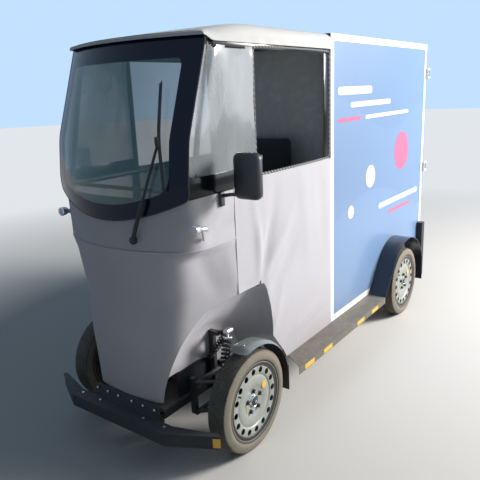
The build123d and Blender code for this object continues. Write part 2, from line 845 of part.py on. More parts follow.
# Rear doors on vertical hinges at the box's rear corners
hinge_x = bx + 12
door_inner_y = by1 + door_gap
door_outer_y = door_inner_y + door_thickness
hinge_y = door_outer_y + 4
hinge_heights = (335, 1110, 1885)
hinge_pin = 5
hinge_barrel = 9
hinge_half = 24
door_meeting_gap = 6
with BuildPart() as rear_door:
    block((door_meeting_gap / 2, door_inner_y, bz0 + 2), (bx - 2, door_outer_y, bz1 - 2))
    for height in hinge_heights:
        block((hinge_x - 130, door_outer_y, height - hinge_half), (hinge_x, hinge_y, height + hinge_half))
        rod((hinge_x, hinge_y, height - hinge_half), (hinge_x, hinge_y, height + hinge_half), hinge_barrel)
        with BuildSketch(Plane.XY.offset(height - hinge_half - 1)):
            with Locations((hinge_x, hinge_y)):
                Circle(hinge_pin + kingpin_fit)
        extrude(amount=2 * hinge_half + 2, mode=Mode.SUBTRACT)
    # Locking bar with its handle near the meeting edge
    bar_x = 60
    rod((bar_x, door_outer_y + 12, bz0 + 20), (bar_x, door_outer_y + 12, bz1 - 20), 8)
    for height in (bz0 + 40, 1000, 1250, bz1 - 60):
        block((bar_x - 18, door_outer_y, height), (bar_x + 18, door_outer_y + 12, height + 20))
    block((bar_x, door_outer_y + 8, 1110), (bar_x + 150, door_outer_y + 16, 1136))
write_pair(rear_door.part, "rear_door")

with BuildPart() as door_hinges:
    for side in (-1, 1):
        for height in hinge_heights:
            near, far = sorted((side * bx, side * (hinge_x + 10)))
            for lug in (height - hinge_half - 15, height + hinge_half + 1):
                block((near, by1 - 8, lug), (far, hinge_y + 8, lug + 14))
            rod(
                (side * hinge_x, hinge_y, height - hinge_half - 12),
                (side * hinge_x, hinge_y, height + hinge_half + 12),
                hinge_pin,
            )
            block((near, by1 - 8, height - hinge_half - 15), (far, by1 - 4, height + hinge_half + 15))
write(door_hinges.part, "door_hinges")

# Running board: pressed sheet with a deep outer lip, cut obliquely at its front end
board_inner_x = cab_half_width + seat_gap
board_outer_x = board_inner_x + board_width
board_top_z = floor_z + 2
board_rear_y = rear_axle_y - 452
with BuildPart() as running_board:
    with BuildSketch(Plane.XY.offset(board_top_z - sheet)):
        with BuildLine():
            Polyline(
                (board_inner_x, station(506)),
                (board_outer_x, station(408)),
                (board_outer_x, board_rear_y),
                (board_inner_x, board_rear_y),
                close=True,
            )
        make_face()
    extrude(amount=sheet)
    block(
        (board_outer_x - sheet, station(408), board_top_z - board_lip),
        (board_outer_x, board_rear_y, board_top_z),
    )
    # Brackets to the floor and box frame
    for bracket in (560, 1000, 1540):
        block(
            (board_inner_x - 40, station(bracket), board_top_z - sheet - 28),
            (board_inner_x, station(bracket + 5), rail_top_z),
        )
        block(
            (board_inner_x, station(bracket), board_top_z - sheet - 28),
            (board_outer_x - sheet, station(bracket + 5), board_top_z - sheet),
        )
    mirror(about=Plane.YZ)
write(running_board.part, "running_boards")

# Rear mudguard: broad arch over the wheel with a straight slope down to the running board
guard_inner_x = bx + seat_gap
slope_low = (board_rear_y + 5, floor_z)
arch_centre = (rear_axle_y, axle_z)
slope_angle = 142
slope_top = (
    rear_axle_y + rear_guard_radius * cos(radians(slope_angle)),
    axle_z + rear_guard_radius * sin(radians(slope_angle)),
)
arch_rear = (
    rear_axle_y + rear_guard_radius * cos(radians(20)),
    axle_z + rear_guard_radius * sin(radians(20)),
)
with BuildPart() as rear_mudguard:
    with BuildSketch(Plane(origin=(guard_inner_x, 0, 0), x_dir=(0, 1, 0), z_dir=(1, 0, 0))):
        with BuildLine() as arch_line:
            Line(slope_low, slope_top)
            ThreePointArc(slope_top, (rear_axle_y, axle_z + rear_guard_radius), arch_rear)
            Line(arch_rear, (arch_rear[0] + 12, 190))
            offset(amount=sheet, side=Side.LEFT)
        make_face()
    extrude(amount=mudguard_outer_x - guard_inner_x)
    mirror(about=Plane.YZ)
write(rear_mudguard.part, "rear_mudguards")

# Rear bumper bar and the lamp posts beside the box's rear corners
post_y = (by1 - 80, by1 - 20)
with BuildPart() as rear_bumper:
    rod((-430, rear_end_y - 22, 215), (430, rear_end_y - 22, 215), 22)
    for side in (-1, 1):
        rod((side * rail_x, by1 - 60, 215), (side * rail_x, rear_end_y - 22, 215), 14)
        near, far = sorted((side * (rail_x - 14), side * (rail_x + 14)))
        block((near, by1 - 80, 200), (far, by1 - 50, rail_low_z))
        near, far = sorted((side * (bx + seat_gap), side * (bx + 48)))
        block((near, post_y[0], 130), (far, post_y[1], 622))
write(rear_bumper.part, "rear_bumper")

with BuildPart() as rear_lamps:
    for side in (-1, 1):
        near, far = sorted((side * (bx + 10), side * (bx + 40)))
        block((near, post_y[1], 330), (far, post_y[1] + 6, 590))
write(rear_lamps.part, "rear_lamps")

# Front bumper: folded steel beam with swept-back ends, and the bolted skirt behind it
bumper_low_z = 196
bumper_high_z = 262
with BuildPart() as front_bumper:
    with BuildSketch(Plane.XY.offset(bumper_low_z)):
        with BuildLine() as beam_line:
            Polyline(
                (-580, front_end_y + 125),
                (-338, front_end_y),
                (338, front_end_y),
                (580, front_end_y + 125),
            )
            offset(amount=sheet, side=Side.LEFT)
        make_face()
    extrude(amount=bumper_high_z - bumper_low_z)
    with BuildSketch(Plane.XY.offset(bumper_high_z - sheet)):
        with BuildLine():
            Polyline(
                (-580, front_end_y + 125), (-338, front_end_y), (338, front_end_y), (580, front_end_y + 125),
                (560, front_end_y + 140), (330, front_end_y + 70),
                (-330, front_end_y + 70), (-560, front_end_y + 140),
                close=True,
            )
        make_face()
    extrude(amount=sheet)
    for side in (-1, 1):
        near, far = sorted((side * (rail_x - 16), side * (rail_x + 16)))
        block((near, front_end_y + sheet, bumper_low_z + 20), (far, rail_front_y, bumper_high_z - sheet))
write(front_bumper.part, "front_bumper")

skirt_station = -380
with BuildPart() as nose_skirt:
    with BuildSketch(Plane(origin=(-240, 0, 0), x_dir=(0, 1, 0), z_dir=(1, 0, 0))):
        with BuildLine():
            Polyline(
                (front_end_y + 70, bumper_high_z - sheet),
                (station(skirt_station), bumper_high_z),
                (station(skirt_station) + 12, nose_bottom_z + 2),
                (station(skirt_station) + 12 + sheet, nose_bottom_z + 2),
                (station(skirt_station) + sheet, bumper_high_z - sheet),
                close=True,
            )
        make_face()
    extrude(amount=480)
write(nose_skirt.part, "nose_skirt")

# Seat: cushion and back rest on a post frame
seat_station = 760
seat_top_z = 930
seat_thickness = 90
back_thickness = 70
seat_tube_radius = 12
seat_rail_radius = 11
back_post_station = 1012
seat_rail_z = seat_top_z - seat_thickness - seat_rail_radius - seat_gap
back_station = back_post_station - seat_tube_radius - seat_gap - back_thickness / 2
with BuildPart() as seat_base:
    with Locations((0, station(seat_station), seat_top_z - seat_thickness / 2)):
        Box(360, 340, seat_thickness)
    fillet(seat_base.edges().group_by(Axis.Z)[-1], radius=30)
write(seat_base.part, "seat_base")
with BuildPart() as seat_back:
    with Locations((0, station(back_station), 1290)):
        Box(440, back_thickness, 470)
    fillet(seat_back.edges().filter_by(Axis.Y), radius=60)
write(seat_back.part, "seat_back")
with BuildPart() as seat_frame:
    for side in (-1, 1):
        x = side * 130
        rod((x, station(640), seat_rail_z), (x, station(back_post_station), seat_rail_z), seat_rail_radius)
        rod((x, station(660), floor_z), (x, station(660), seat_rail_z), seat_tube_radius)
        rod((x, station(back_post_station), floor_z), (x, station(back_post_station), 1490), seat_tube_radius)
    rod((-130, station(back_post_station), 1460), (130, station(back_post_station), 1460), 10)
    rod((-130, station(660), 600), (130, station(660), 600), 10)
write(seat_frame.part, "seat_frame")

# Pedal generator on its post, with the crank turning in its bore
crank_y = station(150)
crank_z = 560
crank_bore = 12
with BuildPart() as pedal_generator:
    rod((-50, crank_y, crank_z), (50, crank_y, crank_z), 70)
    block((-40, crank_y - 30, floor_z), (40, crank_y + 30, crank_z - 40))
    with BuildSketch(Plane(origin=(-60, crank_y, crank_z), z_dir=(1, 0, 0))):
        Circle(crank_bore + stub_fit)
    extrude(amount=120, mode=Mode.SUBTRACT)
write(pedal_generator.part, "pedal_generator")
crank_length = 160
with BuildPart() as crank:
    rod((-66, crank_y, crank_z), (66, crank_y, crank_z), crank_bore)
    for side in (-1, 1):
        near, far = sorted((side * 56, side * 70))
        end_y = crank_y + side * crank_length
        low, high = sorted((crank_y - side * 14, end_y + side * 10))
        block((near, low, crank_z - 12), (far, high, crank_z + 12))
        near, far = sorted((side * 70, side * 150))
        block((near, end_y - 35, crank_z - 9), (far, end_y + 35, crank_z + 9))
write(crank.part, "crank")

# Steering column with its bearing tube, and the handlebar that turns in it
column_foot = Vector(0, station(-120), floor_z + 9)
column_head = Vector(0, station(180), 1080)
column_run = (column_head - column_foot).normalized()
with BuildPart() as steering_column:
    rod(column_foot, column_head, 24)
    block((-45, station(-165), floor_z), (45, station(-75), floor_z + 12))
    with BuildSketch(Plane(origin=column_head, z_dir=column_run)):
        Circle(12 + stub_fit)
    extrude(amount=-160, mode=Mode.SUBTRACT)
write(steering_column.part, "steering_column")
with BuildPart() as handlebar:
    stem_foot = column_head - column_run * 150
    stem_head = column_head + column_run * 110
    rod(stem_foot, stem_head, 12)
    rod(column_head + column_run * 3, column_head + column_run * 16, 22)
    for side in (-1, 1):
        bend = stem_head + Vector(side * 150, 30, 40)
        grip = bend + Vector(side * 130, 90, 0)
        rod(stem_head, bend, 11)
        rod(bend, grip, 11)
        rod(bend + (grip - bend) * 0.25, grip, 16)
write(handlebar.part, "handlebar")

# Mirrors on short arms that reach out between cowl and film from the belt rail
mirror_arm_z = belt_z + 2
mirror_arm_y = station(-60)
with BuildPart() as mirror_head:
    mirror_centre = Vector(cab_half_width + 145, station(-25), 1434)
    with Locations(mirror_centre):
        Box(145, 45, 214)
    fillet(mirror_head.edges().filter_by(Axis.Y), radius=35)
    arm_root_end = (cab_half_width + 18, mirror_arm_y, mirror_arm_z)
    rod((hoop_x + rail_tube_radius + seat_gap, mirror_arm_y, mirror_arm_z), arm_root_end, 8)
    rod(arm_root_end, mirror_centre - Vector(60, 4, 40), 8)
write_pair(mirror_head.part, "mirror")

# Turn signals on stems at the ridge's corners
with BuildPart() as turn_signals:
    for side in (-1, 1):
        lamp_x = side * (cab_half_width + 24)
        rod((lamp_x, station(-292), 1226), (lamp_x, station(-258), 1224), 23)
        rod((lamp_x, station(-258), 1224), (lamp_x, station(-196), 1212), 17)
        rod((side * (cab_half_width + 6), station(-206), 1160), (lamp_x, station(-222), 1206), 6)
write(turn_signals.part, "turn_signals")

# Windscreen wiper: pivot on the cowl, bent arm and blade, a little clear of the glass
wiper_arm = (
    # across, station, height
    (186, -380, 1175),
    (250, -378, 1335),
    (336, -331, 1612),
)
wiper_blade = ((355, -340, 1400), (336, -331, 1612), (312, -264, 1850))
with BuildPart() as wiper:
    pivot = wiper_arm[0]
    rod((pivot[0], station(pivot[1] - 8), pivot[2]), (pivot[0], station(pivot[1] + 13), pivot[2]), 14)
    for line in (wiper_arm, wiper_blade):
        for (x0, s0, z0), (x1, s1, z1) in zip(line, line[1:]):
            rod((x0, station(s0), z0), (x1, station(s1), z1), 4 if line is wiper_arm else 5)
write(wiper.part, "wiper")
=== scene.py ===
"""Looks of a four-wheeled enclosed cargo bike, built around its CAD frame.

Units are metres, +X is the rider's left, the front faces -Y and +Z is up.
Distances called station are measured to the rear from the front axle.
"""
import math

import bpy
from bpy.props import FloatProperty, FloatVectorProperty, IntProperty, PointerProperty
from bpy.types import Operator, Panel, PropertyGroup
from mathutils import Matrix, Vector


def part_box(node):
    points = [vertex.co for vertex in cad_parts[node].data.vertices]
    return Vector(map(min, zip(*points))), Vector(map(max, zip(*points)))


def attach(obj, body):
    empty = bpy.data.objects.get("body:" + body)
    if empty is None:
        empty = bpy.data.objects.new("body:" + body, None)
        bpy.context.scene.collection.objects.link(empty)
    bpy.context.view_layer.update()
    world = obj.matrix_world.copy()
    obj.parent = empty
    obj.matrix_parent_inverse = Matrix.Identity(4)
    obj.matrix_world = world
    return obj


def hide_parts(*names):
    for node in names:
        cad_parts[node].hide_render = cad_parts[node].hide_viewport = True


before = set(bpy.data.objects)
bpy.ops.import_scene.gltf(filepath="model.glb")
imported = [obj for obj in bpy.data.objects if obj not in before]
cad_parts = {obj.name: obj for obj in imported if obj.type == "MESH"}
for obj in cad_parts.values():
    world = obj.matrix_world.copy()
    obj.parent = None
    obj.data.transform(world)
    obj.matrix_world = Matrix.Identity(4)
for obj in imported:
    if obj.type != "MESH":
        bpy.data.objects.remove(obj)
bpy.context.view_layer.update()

bl_info = {
    "name": "Enclosed cargo bike",
    "version": (1, 0, 0),
    "blender": (4, 5, 0),
    "location": "3D View > Sidebar > Cargo Bike",
    "description": "Fabric, glass, wheels and trim of a four-wheeled enclosed cargo bike",
    "category": "Object",
}

SIDES = (("left", 1), ("right", -1))
CORNERS = ("front_left", "front_right", "rear_left", "rear_right")


def node_middle(node):
    """Middle of a CAD node's box."""
    low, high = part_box(node)
    return (low + high) / 2


# Places that the frame gives
WHEEL_CENTRES = {corner: node_middle(f"tyre_{corner}") for corner in CORNERS}
FRONT_Y = WHEEL_CENTRES["front_left"].y
AXLE_Z = WHEEL_CENTRES["front_left"].z
TYRE_LOW, TYRE_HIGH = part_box("tyre_front_left")
TYRE_RADIUS = (TYRE_HIGH.z - TYRE_LOW.z) / 2
TYRE_HALF = (TYRE_HIGH.x - TYRE_LOW.x) / 2
BOX_LOW, BOX_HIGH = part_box("box_frame")
CAB_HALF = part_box("side_panel_left")[1].x
ROOF_LOW, ROOF_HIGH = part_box("roof_cover")
FLOOR_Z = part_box("cab_floor")[1].z


def station(distance):
    """Y of a place this far behind the front axle."""
    return FRONT_Y + distance


# Settings
class ClothSettings(PropertyGroup):
    """Sizes and colours of the cab's fabric."""

    thickness: FloatProperty(name="Thickness", description="Cloth with its coating", default=0.003, unit="LENGTH")
    fold_depth: FloatProperty(name="Fold depth", description="Depth scale of the tension folds", default=1.5)
    colour: FloatVectorProperty(
        name="Cab colour", description="Coated grey cloth", subtype="COLOR", default=(0.44, 0.425, 0.455)
    )
    roof_colour: FloatVectorProperty(
        name="Roof colour", description="Pale roof cloth", subtype="COLOR", default=(0.50, 0.495, 0.485)
    )


class WheelSettings(PropertyGroup):
    """Sizes of the wheels' dress."""

    tread_steps: IntProperty(name="Tread blocks", description="Blocks round one tyre", default=150)
    tread_depth: FloatProperty(name="Tread depth", description="Height of the blocks", default=0.0028, unit="LENGTH")
    bolt_count: IntProperty(name="Wheel bolts", description="Bolts of one wheel", default=5)
    bolt_circle: FloatProperty(name="Bolt circle", description="Radius of the bolts", default=0.056, unit="LENGTH")
    rim_colour: FloatVectorProperty(
        name="Rim colour", description="Silver grey wheel paint", subtype="COLOR", default=(0.31, 0.325, 0.29)
    )


class BoxSettings(PropertyGroup):
    """Colours of the cargo box."""

    panel_colour: FloatVectorProperty(
        name="Panel colour", description="Light blue panel film", subtype="COLOR", default=(0.135, 0.225, 0.385)
    )
    accent_colour: FloatVectorProperty(
        name="Accent colour", description="Pink of the printed bars", subtype="COLOR", default=(0.52, 0.10, 0.22)
    )
    profile_colour: FloatVectorProperty(
        name="Profile colour", description="White edge profiles", subtype="COLOR", default=(0.78, 0.78, 0.78)
    )


class StageSettings(PropertyGroup):
    """Camera and light levels."""

    lens: FloatProperty(name="Lens", description="Focal length on a 36 mm sensor", default=41.64)
    key_power: FloatProperty(name="Key light", description="Power of the large soft light", default=920.0)
    ambient: FloatProperty(name="Ambient", description="World light on the object", default=0.18)


# Shader maths
class Value:
    """A shader socket that Python's operators join with Math nodes."""

    def __init__(self, shader, socket):
        self.shader = shader
        self.socket = socket

    def joined(self, operation, *values):
        return self.shader.node("ShaderNodeMath", {"operation": operation}, *values)

    def __add__(self, other):
        return self.joined("ADD", self, other)

    __radd__ = __add__

    def __mul__(self, other):
        return self.joined("MULTIPLY", self, other)

    __rmul__ = __mul__

    def __sub__(self, other):
        return self.joined("SUBTRACT", self, other)

    def __rsub__(self, other):
        return self.joined("SUBTRACT", other, self)

    def __truediv__(self, other):
        return self.joined("DIVIDE", self, other)

    def __pow__(self, other):
        return self.joined("POWER", self, other)

    def clamped(self):
        return self.shader.node("ShaderNodeClamp", {}, self, 0.0, 1.0)

    def below(self, level, blur):
        """1 under the level and 0 above it, over a soft edge."""
        return self.shader.node("ShaderNodeMapRange", {"clamp": True}, self, level - blur, level + blur, 1.0, 0.0)

    def above(self, level, blur):
        """1 over the level and 0 under it, over a soft edge."""
        return self.shader.node("ShaderNodeMapRange", {"clamp": True}, self, level - blur, level + blur, 0.0, 1.0)


class Shader:
    """A material that is built node by node."""

    def __init__(self, name):
        self.material = bpy.data.materials.new(name)
        self.material.use_nodes = True
        self.tree = self.material.node_tree
        self.tree.nodes.clear()
        self.place = self.node("ShaderNodeTexCoord", {}, out="Object")

    def node(self, kind, settings, *values, out=0, **named):
        """Add a node, set its settings, then feed its inputs by order or by name."""
        made = self.tree.nodes.new(kind)
        for key, setting in settings.items():
            setattr(made, key, setting)
        feeds = list(enumerate(values)) + [(key.replace("_", " "), value) for key, value in named.items()]
        for key, value in feeds:
            if isinstance(value, Value):
                self.tree.links.new(value.socket, made.inputs[key])
            elif value is not None:
                made.inputs[key].default_value = value
        return Value(self, made.outputs[out]) if made.outputs else None

    def noise(self, scale, detail=2.0, stretch=(1.0, 1.0, 1.0)):
        spread = self.node("ShaderNodeMapping", {}, self.place, Scale=stretch)
        return self.node("ShaderNodeTexNoise", {}, spread, Scale=scale, Detail=detail)

    def axis(self, letter):
        return self.node("ShaderNodeSeparateXYZ", {}, self.place, out="XYZ".index(letter))

    def radius_about(self, centre):
        """Distance from a wheel's axle."""
        y, z = self.axis("Y") - centre.y, self.axis("Z") - centre.z
        return (y * y + z * z) ** 0.5

    def mix(self, factor, first, second):
        made = self.tree.nodes.new("ShaderNodeMix")
        made.data_type = "RGBA"
        for index, value in ((0, factor), (6, first), (7, second)):
            if isinstance(value, Value):
                self.tree.links.new(value.socket, made.inputs[index])
            elif index == 0:
                made.inputs[index].default_value = value
            else:
                made.inputs[index].default_value = (*value, 1.0)
        return Value(self, made.outputs[2])

    def bump(self, height, distance, strength=1.0):
        return self.node("ShaderNodeBump", {}, Height=height, Distance=distance, Strength=strength)

    def surface(self, **inputs):
        """Close the material with one Principled shader."""
        shaded = self.node("ShaderNodeBsdfPrincipled", {}, **inputs)
        self.node("ShaderNodeOutputMaterial", {}, shaded)
        return self.material


def shade(colour, factor):
    """The colour, lighter or darker."""
    return tuple(min(1.0, channel * factor) for channel in colour)


def cloth_material(name, colour, dust_height):
    """Coated cloth: fine weave, faint clouding, road dust near the ground."""
    shader = Shader(name)
    clouds = shader.noise(3.0, 4.0)
    grain = shader.noise(420.0, 2.0)
    tone = shader.mix(clouds.above(0.5, 0.25), shade(colour, 0.94), shade(colour, 1.04))
    tone = shader.mix(grain.above(0.5, 0.3) * 0.25, tone, shade(colour, 0.80))
    dust = (shader.axis("Z").below(dust_height, 0.22) * clouds.above(0.42, 0.2) * 0.55).clamped()
    tone = shader.mix(dust, tone, (0.30, 0.26, 0.23))
    warp = shader.node(
        "ShaderNodeTexWave", {"bands_direction": "Z"}, shader.place, Scale=320.0, Distortion=0.6, out="Fac"
    )
    weft = shader.node(
        "ShaderNodeTexWave", {"bands_direction": "DIAGONAL"}, shader.place, Scale=200.0, Distortion=0.6, out="Fac"
    )
    weave = shader.bump(warp * 0.5 + weft * 0.5 + grain * 0.4, 0.0004, 0.5)
    rough = 0.62 + clouds * 0.16
    return shader.surface(
        Base_Color=tone, Roughness=rough, Normal=weave, Sheen_Weight=0.25, Sheen_Roughness=0.5,
        Specular_IOR_Level=0.35,
    )


def coated_steel_material(name, colour, roughness, grit, dust):
    """Powder-coated metal with fine orange peel, dull scuffs and dust on what faces up."""
    shader = Shader(name)
    peel = shader.noise(260.0, 2.0)
    scuffs = shader.noise(14.0, 6.0, (1.0, 0.4, 2.2))
    facing_up = shader.node("ShaderNodeNewGeometry", {}, out="Normal")
    upness = shader.node("ShaderNodeSeparateXYZ", {}, facing_up, out=2)
    settled = (upness.above(0.55, 0.35) * shader.noise(30.0, 5.0).above(0.45, 0.2) * dust).clamped()
    tone = shader.mix(scuffs.above(0.62, 0.08) * 0.35, colour, shade(colour, 2.2))
    tone = shader.mix(settled, tone, (0.24, 0.21, 0.18))
    rough = (scuffs * 0.25 + roughness + settled * 0.3).clamped()
    return shader.surface(Base_Color=tone, Roughness=rough, Normal=shader.bump(peel, grit, 0.4))


def moulded_material(name, colour, roughness, coat=0.0):
    """Moulded plastic with a fine grain and faint handling marks."""
    shader = Shader(name)
    grain = shader.noise(700.0, 2.0)
    marks = shader.noise(22.0, 5.0)
    tone = shader.mix(marks.above(0.6, 0.12) * 0.3, colour, shade(colour, 1.6))
    rough = (marks * 0.18 + (roughness - 0.09)).clamped()
    return shader.surface(
        Base_Color=tone, Roughness=rough, Normal=shader.bump(grain, 0.0002, 0.3), Coat_Weight=coat,
        Coat_Roughness=0.08,
    )


def tyre_material(corner):
    """Black rubber: dust on the wall and the tread blocks, a clean black ring beside the rim."""
    shader = Shader(f"dusty_rubber_{corner}")
    radius = shader.radius_about(WHEEL_CENTRES[corner])
    patches = shader.noise(14.0, 5.0)
    fine = shader.noise(260.0, 3.0)
    wall = radius.above(0.2165, 0.0015) * radius.below(TYRE_RADIUS - 0.011, 0.004)
    speckle = (fine * 0.7 + patches * 0.3).above(0.50, 0.10)
    dusty = (wall * (patches * 0.5 + 0.62) + (1 - wall) * speckle * radius.above(0.2165, 0.0015) * 0.62).clamped()
    tone = shader.mix(dusty, (0.018, 0.017, 0.017), (0.205, 0.175, 0.130))
    rough = dusty * 0.2 + 0.62
    return shader.surface(Base_Color=tone, Roughness=rough, Normal=shader.bump(fine, 0.0006, 0.5))


def rim_material(corner, colour):
    """Silver wheel paint with stains and a dusty flange, with painted shade: the well beside the disc and the wheel's
    inside are painted near black.
    """
    shader = Shader(f"wheel_paint_{corner}")
    radius = shader.radius_about(WHEEL_CENTRES[corner])
    across = shader.axis("X") - WHEEL_CENTRES[corner].x
    # mask of the wheel's inside, within 27 mm of its middle plane, for painted shade
    inside = (across * across).below(0.027 ** 2, 0.00002)
    stains = shader.noise(18.0, 5.0)
    flakes = shader.noise(900.0, 1.0)
    tone = shader.mix(stains.above(0.5, 0.2) * 0.35, colour, shade(colour, 0.70))
    # painted shade: barrel, hub and the screen behind the vents go near black
    tone = shader.mix(inside, tone, (0.010, 0.010, 0.011))
    # painted shade: the deep well between the disc and the flange is painted black
    tone = shader.mix(radius.above(0.1862, 0.0006), tone, (0.012, 0.012, 0.013))
    tone = shader.mix(radius.above(0.2020, 0.0006), tone, (0.200, 0.175, 0.135))
    rough = (stains * 0.2 + 0.36).clamped()
    return shader.surface(
        Base_Color=tone, Roughness=rough, Metallic=0.15, Normal=shader.bump(flakes, 0.0001, 0.3), Coat_Weight=0.1,
        Coat_Roughness=0.25,
    )


def bare_metal_material(name, colour, roughness):
    """Machined or plated metal with fine streaks."""
    shader = Shader(name)
    streaks = shader.noise(60.0, 4.0, (1.0, 1.0, 14.0))
    tone = shader.mix(streaks.above(0.5, 0.2), shade(colour, 0.85), colour)
    rough = (streaks * 0.15 + roughness).clamped()
    return shader.surface(Base_Color=tone, Roughness=rough, Metallic=0.9)


def panel_material(colour):
    """Printed panel film: smooth blue with two broad paler waves and a little road film below."""
    shader = Shader("panel_film")
    along = shader.axis("Y")
    height = shader.axis("Z")
    first = shader.node("ShaderNodeMath", {"operation": "SINE"}, along * 2.4 + 0.4)
    second = shader.node("ShaderNodeMath", {"operation": "SINE"}, along * 3.1 + 2.1)
    low_wave = (height - first * 0.16).below(0.92, 0.004)
    high_wave = (height - second * 0.13).above(1.62, 0.004)
    haze = shader.noise(1.5, 2.0)
    tone = shader.mix(low_wave * 0.55, colour, shade(colour, 1.13))
    tone = shader.mix(high_wave * 0.5, tone, shade(colour, 0.88))
    grime = (height.below(0.48, 0.25) * haze * 0.35).clamped()
    tone = shader.mix(grime, tone, (0.33, 0.32, 0.31))
    rough = haze * 0.12 + 0.28
    return shader.surface(Base_Color=tone, Roughness=rough, Coat_Weight=0.2, Coat_Roughness=0.1)


def pane_material(name, colour, low, high, roughness, smears, gloss):
    """Clear sheet that lets more through from the front than from the side."""
    shader = Shader(name)
    facing = shader.node("ShaderNodeLayerWeight", {}, Blend=0.35, out="Facing")
    haze = shader.noise(5.0, 5.0, (1.0, 1.0, 0.35)).above(0.5, 0.25)
    alpha = (facing * (high - low) + haze * smears + low).clamped()
    rough = haze * 0.08 + roughness
    return shader.surface(
        Base_Color=(*colour, 1.0), Roughness=rough, Alpha=alpha, Specular_IOR_Level=gloss, Coat_Weight=gloss * 0.5,
        Coat_Roughness=0.02,
    )


def border_material(name, colour):
    """Dark print behind glass, with faint smears."""
    shader = Shader(name)
    smears = shader.noise(6.0, 4.0, (1.0, 1.0, 0.3)).above(0.5, 0.25)
    tone = shader.mix(smears * 0.4, colour, shade(colour, 1.5))
    return shader.surface(Base_Color=tone, Roughness=smears * 0.10 + 0.10, Specular_IOR_Level=0.16)


def plain_gloss_material(name, colour, roughness):
    """Small gloss part with faint unevenness."""
    shader = Shader(name)
    drift = shader.noise(40.0, 3.0)
    tone = shader.mix(drift.above(0.5, 0.3), shade(colour, 0.93), colour)
    rough = drift * 0.08 + roughness
    return shader.surface(Base_Color=tone, Roughness=rough, Coat_Weight=0.3, Coat_Roughness=0.05)


def rope_material():
    """Black and grey twisted edging."""
    shader = Shader("twisted_edging")
    twist = shader.node(
        "ShaderNodeTexWave", {"bands_direction": "DIAGONAL"}, shader.place, Scale=22.0, Distortion=0.2, out="Fac"
    )
    tone = shader.mix(twist.above(0.5, 0.1), (0.02, 0.02, 0.022), (0.22, 0.21, 0.20))
    return shader.surface(Base_Color=tone, Roughness=twist * 0.1 + 0.7, Normal=shader.bump(twist, 0.002, 0.8))


MATERIALS = {}


def make_materials():
    """One material for each finish of the vehicle."""
    cloth = bpy.context.scene.cargo_cloth
    wheel = bpy.context.scene.cargo_wheel
    box = bpy.context.scene.cargo_box
    MATERIALS.update(
        cab_cloth=cloth_material("cab_cloth", tuple(cloth.colour), 0.45),
        roof_cloth=cloth_material("roof_cloth", tuple(cloth.roof_colour), 0.0),
        black_steel=coated_steel_material("black_steel", (0.016, 0.016, 0.018), 0.42, 0.0004, 0.5),
        cast_steel=coated_steel_material("cast_steel", (0.03, 0.03, 0.032), 0.6, 0.001, 0.4),
        board_steel=coated_steel_material("board_steel", (0.125, 0.115, 0.092), 0.5, 0.0005, 0.6),
        chrome=bare_metal_material("bright_metal", (0.62, 0.62, 0.63), 0.16),
        alloy=bare_metal_material("brushed_alloy", (0.45, 0.46, 0.47), 0.3),
        black_plastic=moulded_material("black_plastic", (0.018, 0.018, 0.020), 0.42),
        guard_plastic=moulded_material("guard_plastic", (0.155, 0.185, 0.190), 0.26, 0.35),
        guard_inside=moulded_material("guard_inside", (0.022, 0.014, 0.011), 0.65),
        well_panel=moulded_material("well_panel", (0.006, 0.007, 0.012), 0.50),
        navy_gloss=moulded_material("navy_gloss", (0.006, 0.010, 0.022), 0.20, 0.35),
        bumper_black=coated_steel_material("bumper_black", (0.003, 0.003, 0.004), 0.60, 0.0004, 0.06),
        rubber=moulded_material("flap_rubber", (0.022, 0.021, 0.020), 0.72),
        screen_black=border_material("screen_black", (0.005, 0.011, 0.032)),
        band_black=border_material("band_black", (0.004, 0.0045, 0.006)),
        panel=panel_material(tuple(box.panel_colour)),
        profile=coated_steel_material("white_profile", tuple(box.profile_colour), 0.38, 0.0002, 0.25),
        white_panel=moulded_material("white_panel", (0.62, 0.63, 0.62), 0.4),
        pane=pane_material("screen_pane", (0.080, 0.210, 0.220), 0.44, 0.80, 0.02, 0.10, 0.40),
        film=pane_material("window_film", (0.27, 0.295, 0.305), 0.30, 0.72, 0.09, 0.35, 0.5),
        rope=rope_material(),
        seat_cover=cloth_material("seat_cover", (0.022, 0.022, 0.028), 0.0),
        print_white=plain_gloss_material("print_white", (0.66, 0.67, 0.69), 0.3),
        print_pink=plain_gloss_material("print_pink", tuple(box.accent_colour), 0.3),
        reflector=plain_gloss_material("yellow_reflector", (0.74, 0.42, 0.02), 0.25),
        red_lens=plain_gloss_material("red_lens", (0.45, 0.015, 0.015), 0.12),
        clear_lens=plain_gloss_material("clear_lens", (0.70, 0.70, 0.70), 0.08),
    )
    for corner in CORNERS:
        MATERIALS[f"tyre_{corner}"] = tyre_material(corner)
        MATERIALS[f"rim_{corner}"] = rim_material(corner, tuple(wheel.rim_colour))


# Modelling by operators
def drop_selection():
    bpy.ops.object.select_all(action="DESELECT")


def take_up(*pieces):
    """Select these pieces and nothing else, the first one active."""
    drop_selection()
    for piece in pieces:
        piece.select_set(True)
    bpy.context.view_layer.objects.active = pieces[0]


def named(name):
    """The active object under a new name, with its place in its mesh."""
    piece = bpy.context.object
    piece.name = name
    piece.data.name = name
    bpy.ops.object.transform_apply(location=True, rotation=True, scale=True)
    return piece


def modified(piece, kind, **settings):
    """Add one modifier and apply it."""
    take_up(piece)
    bpy.ops.object.modifier_add(type=kind)
    modifier = piece.modifiers[-1]
    for key, setting in settings.items():
        setattr(modifier, key, setting)
    bpy.ops.object.modifier_apply(modifier=modifier.name)
    return piece


def smoothed(piece, angle=40.0):
    """Shade smooth across edges under the angle, in degrees."""
    take_up(piece)
    bpy.ops.object.shade_smooth_by_angle(angle=math.radians(angle))
    return piece


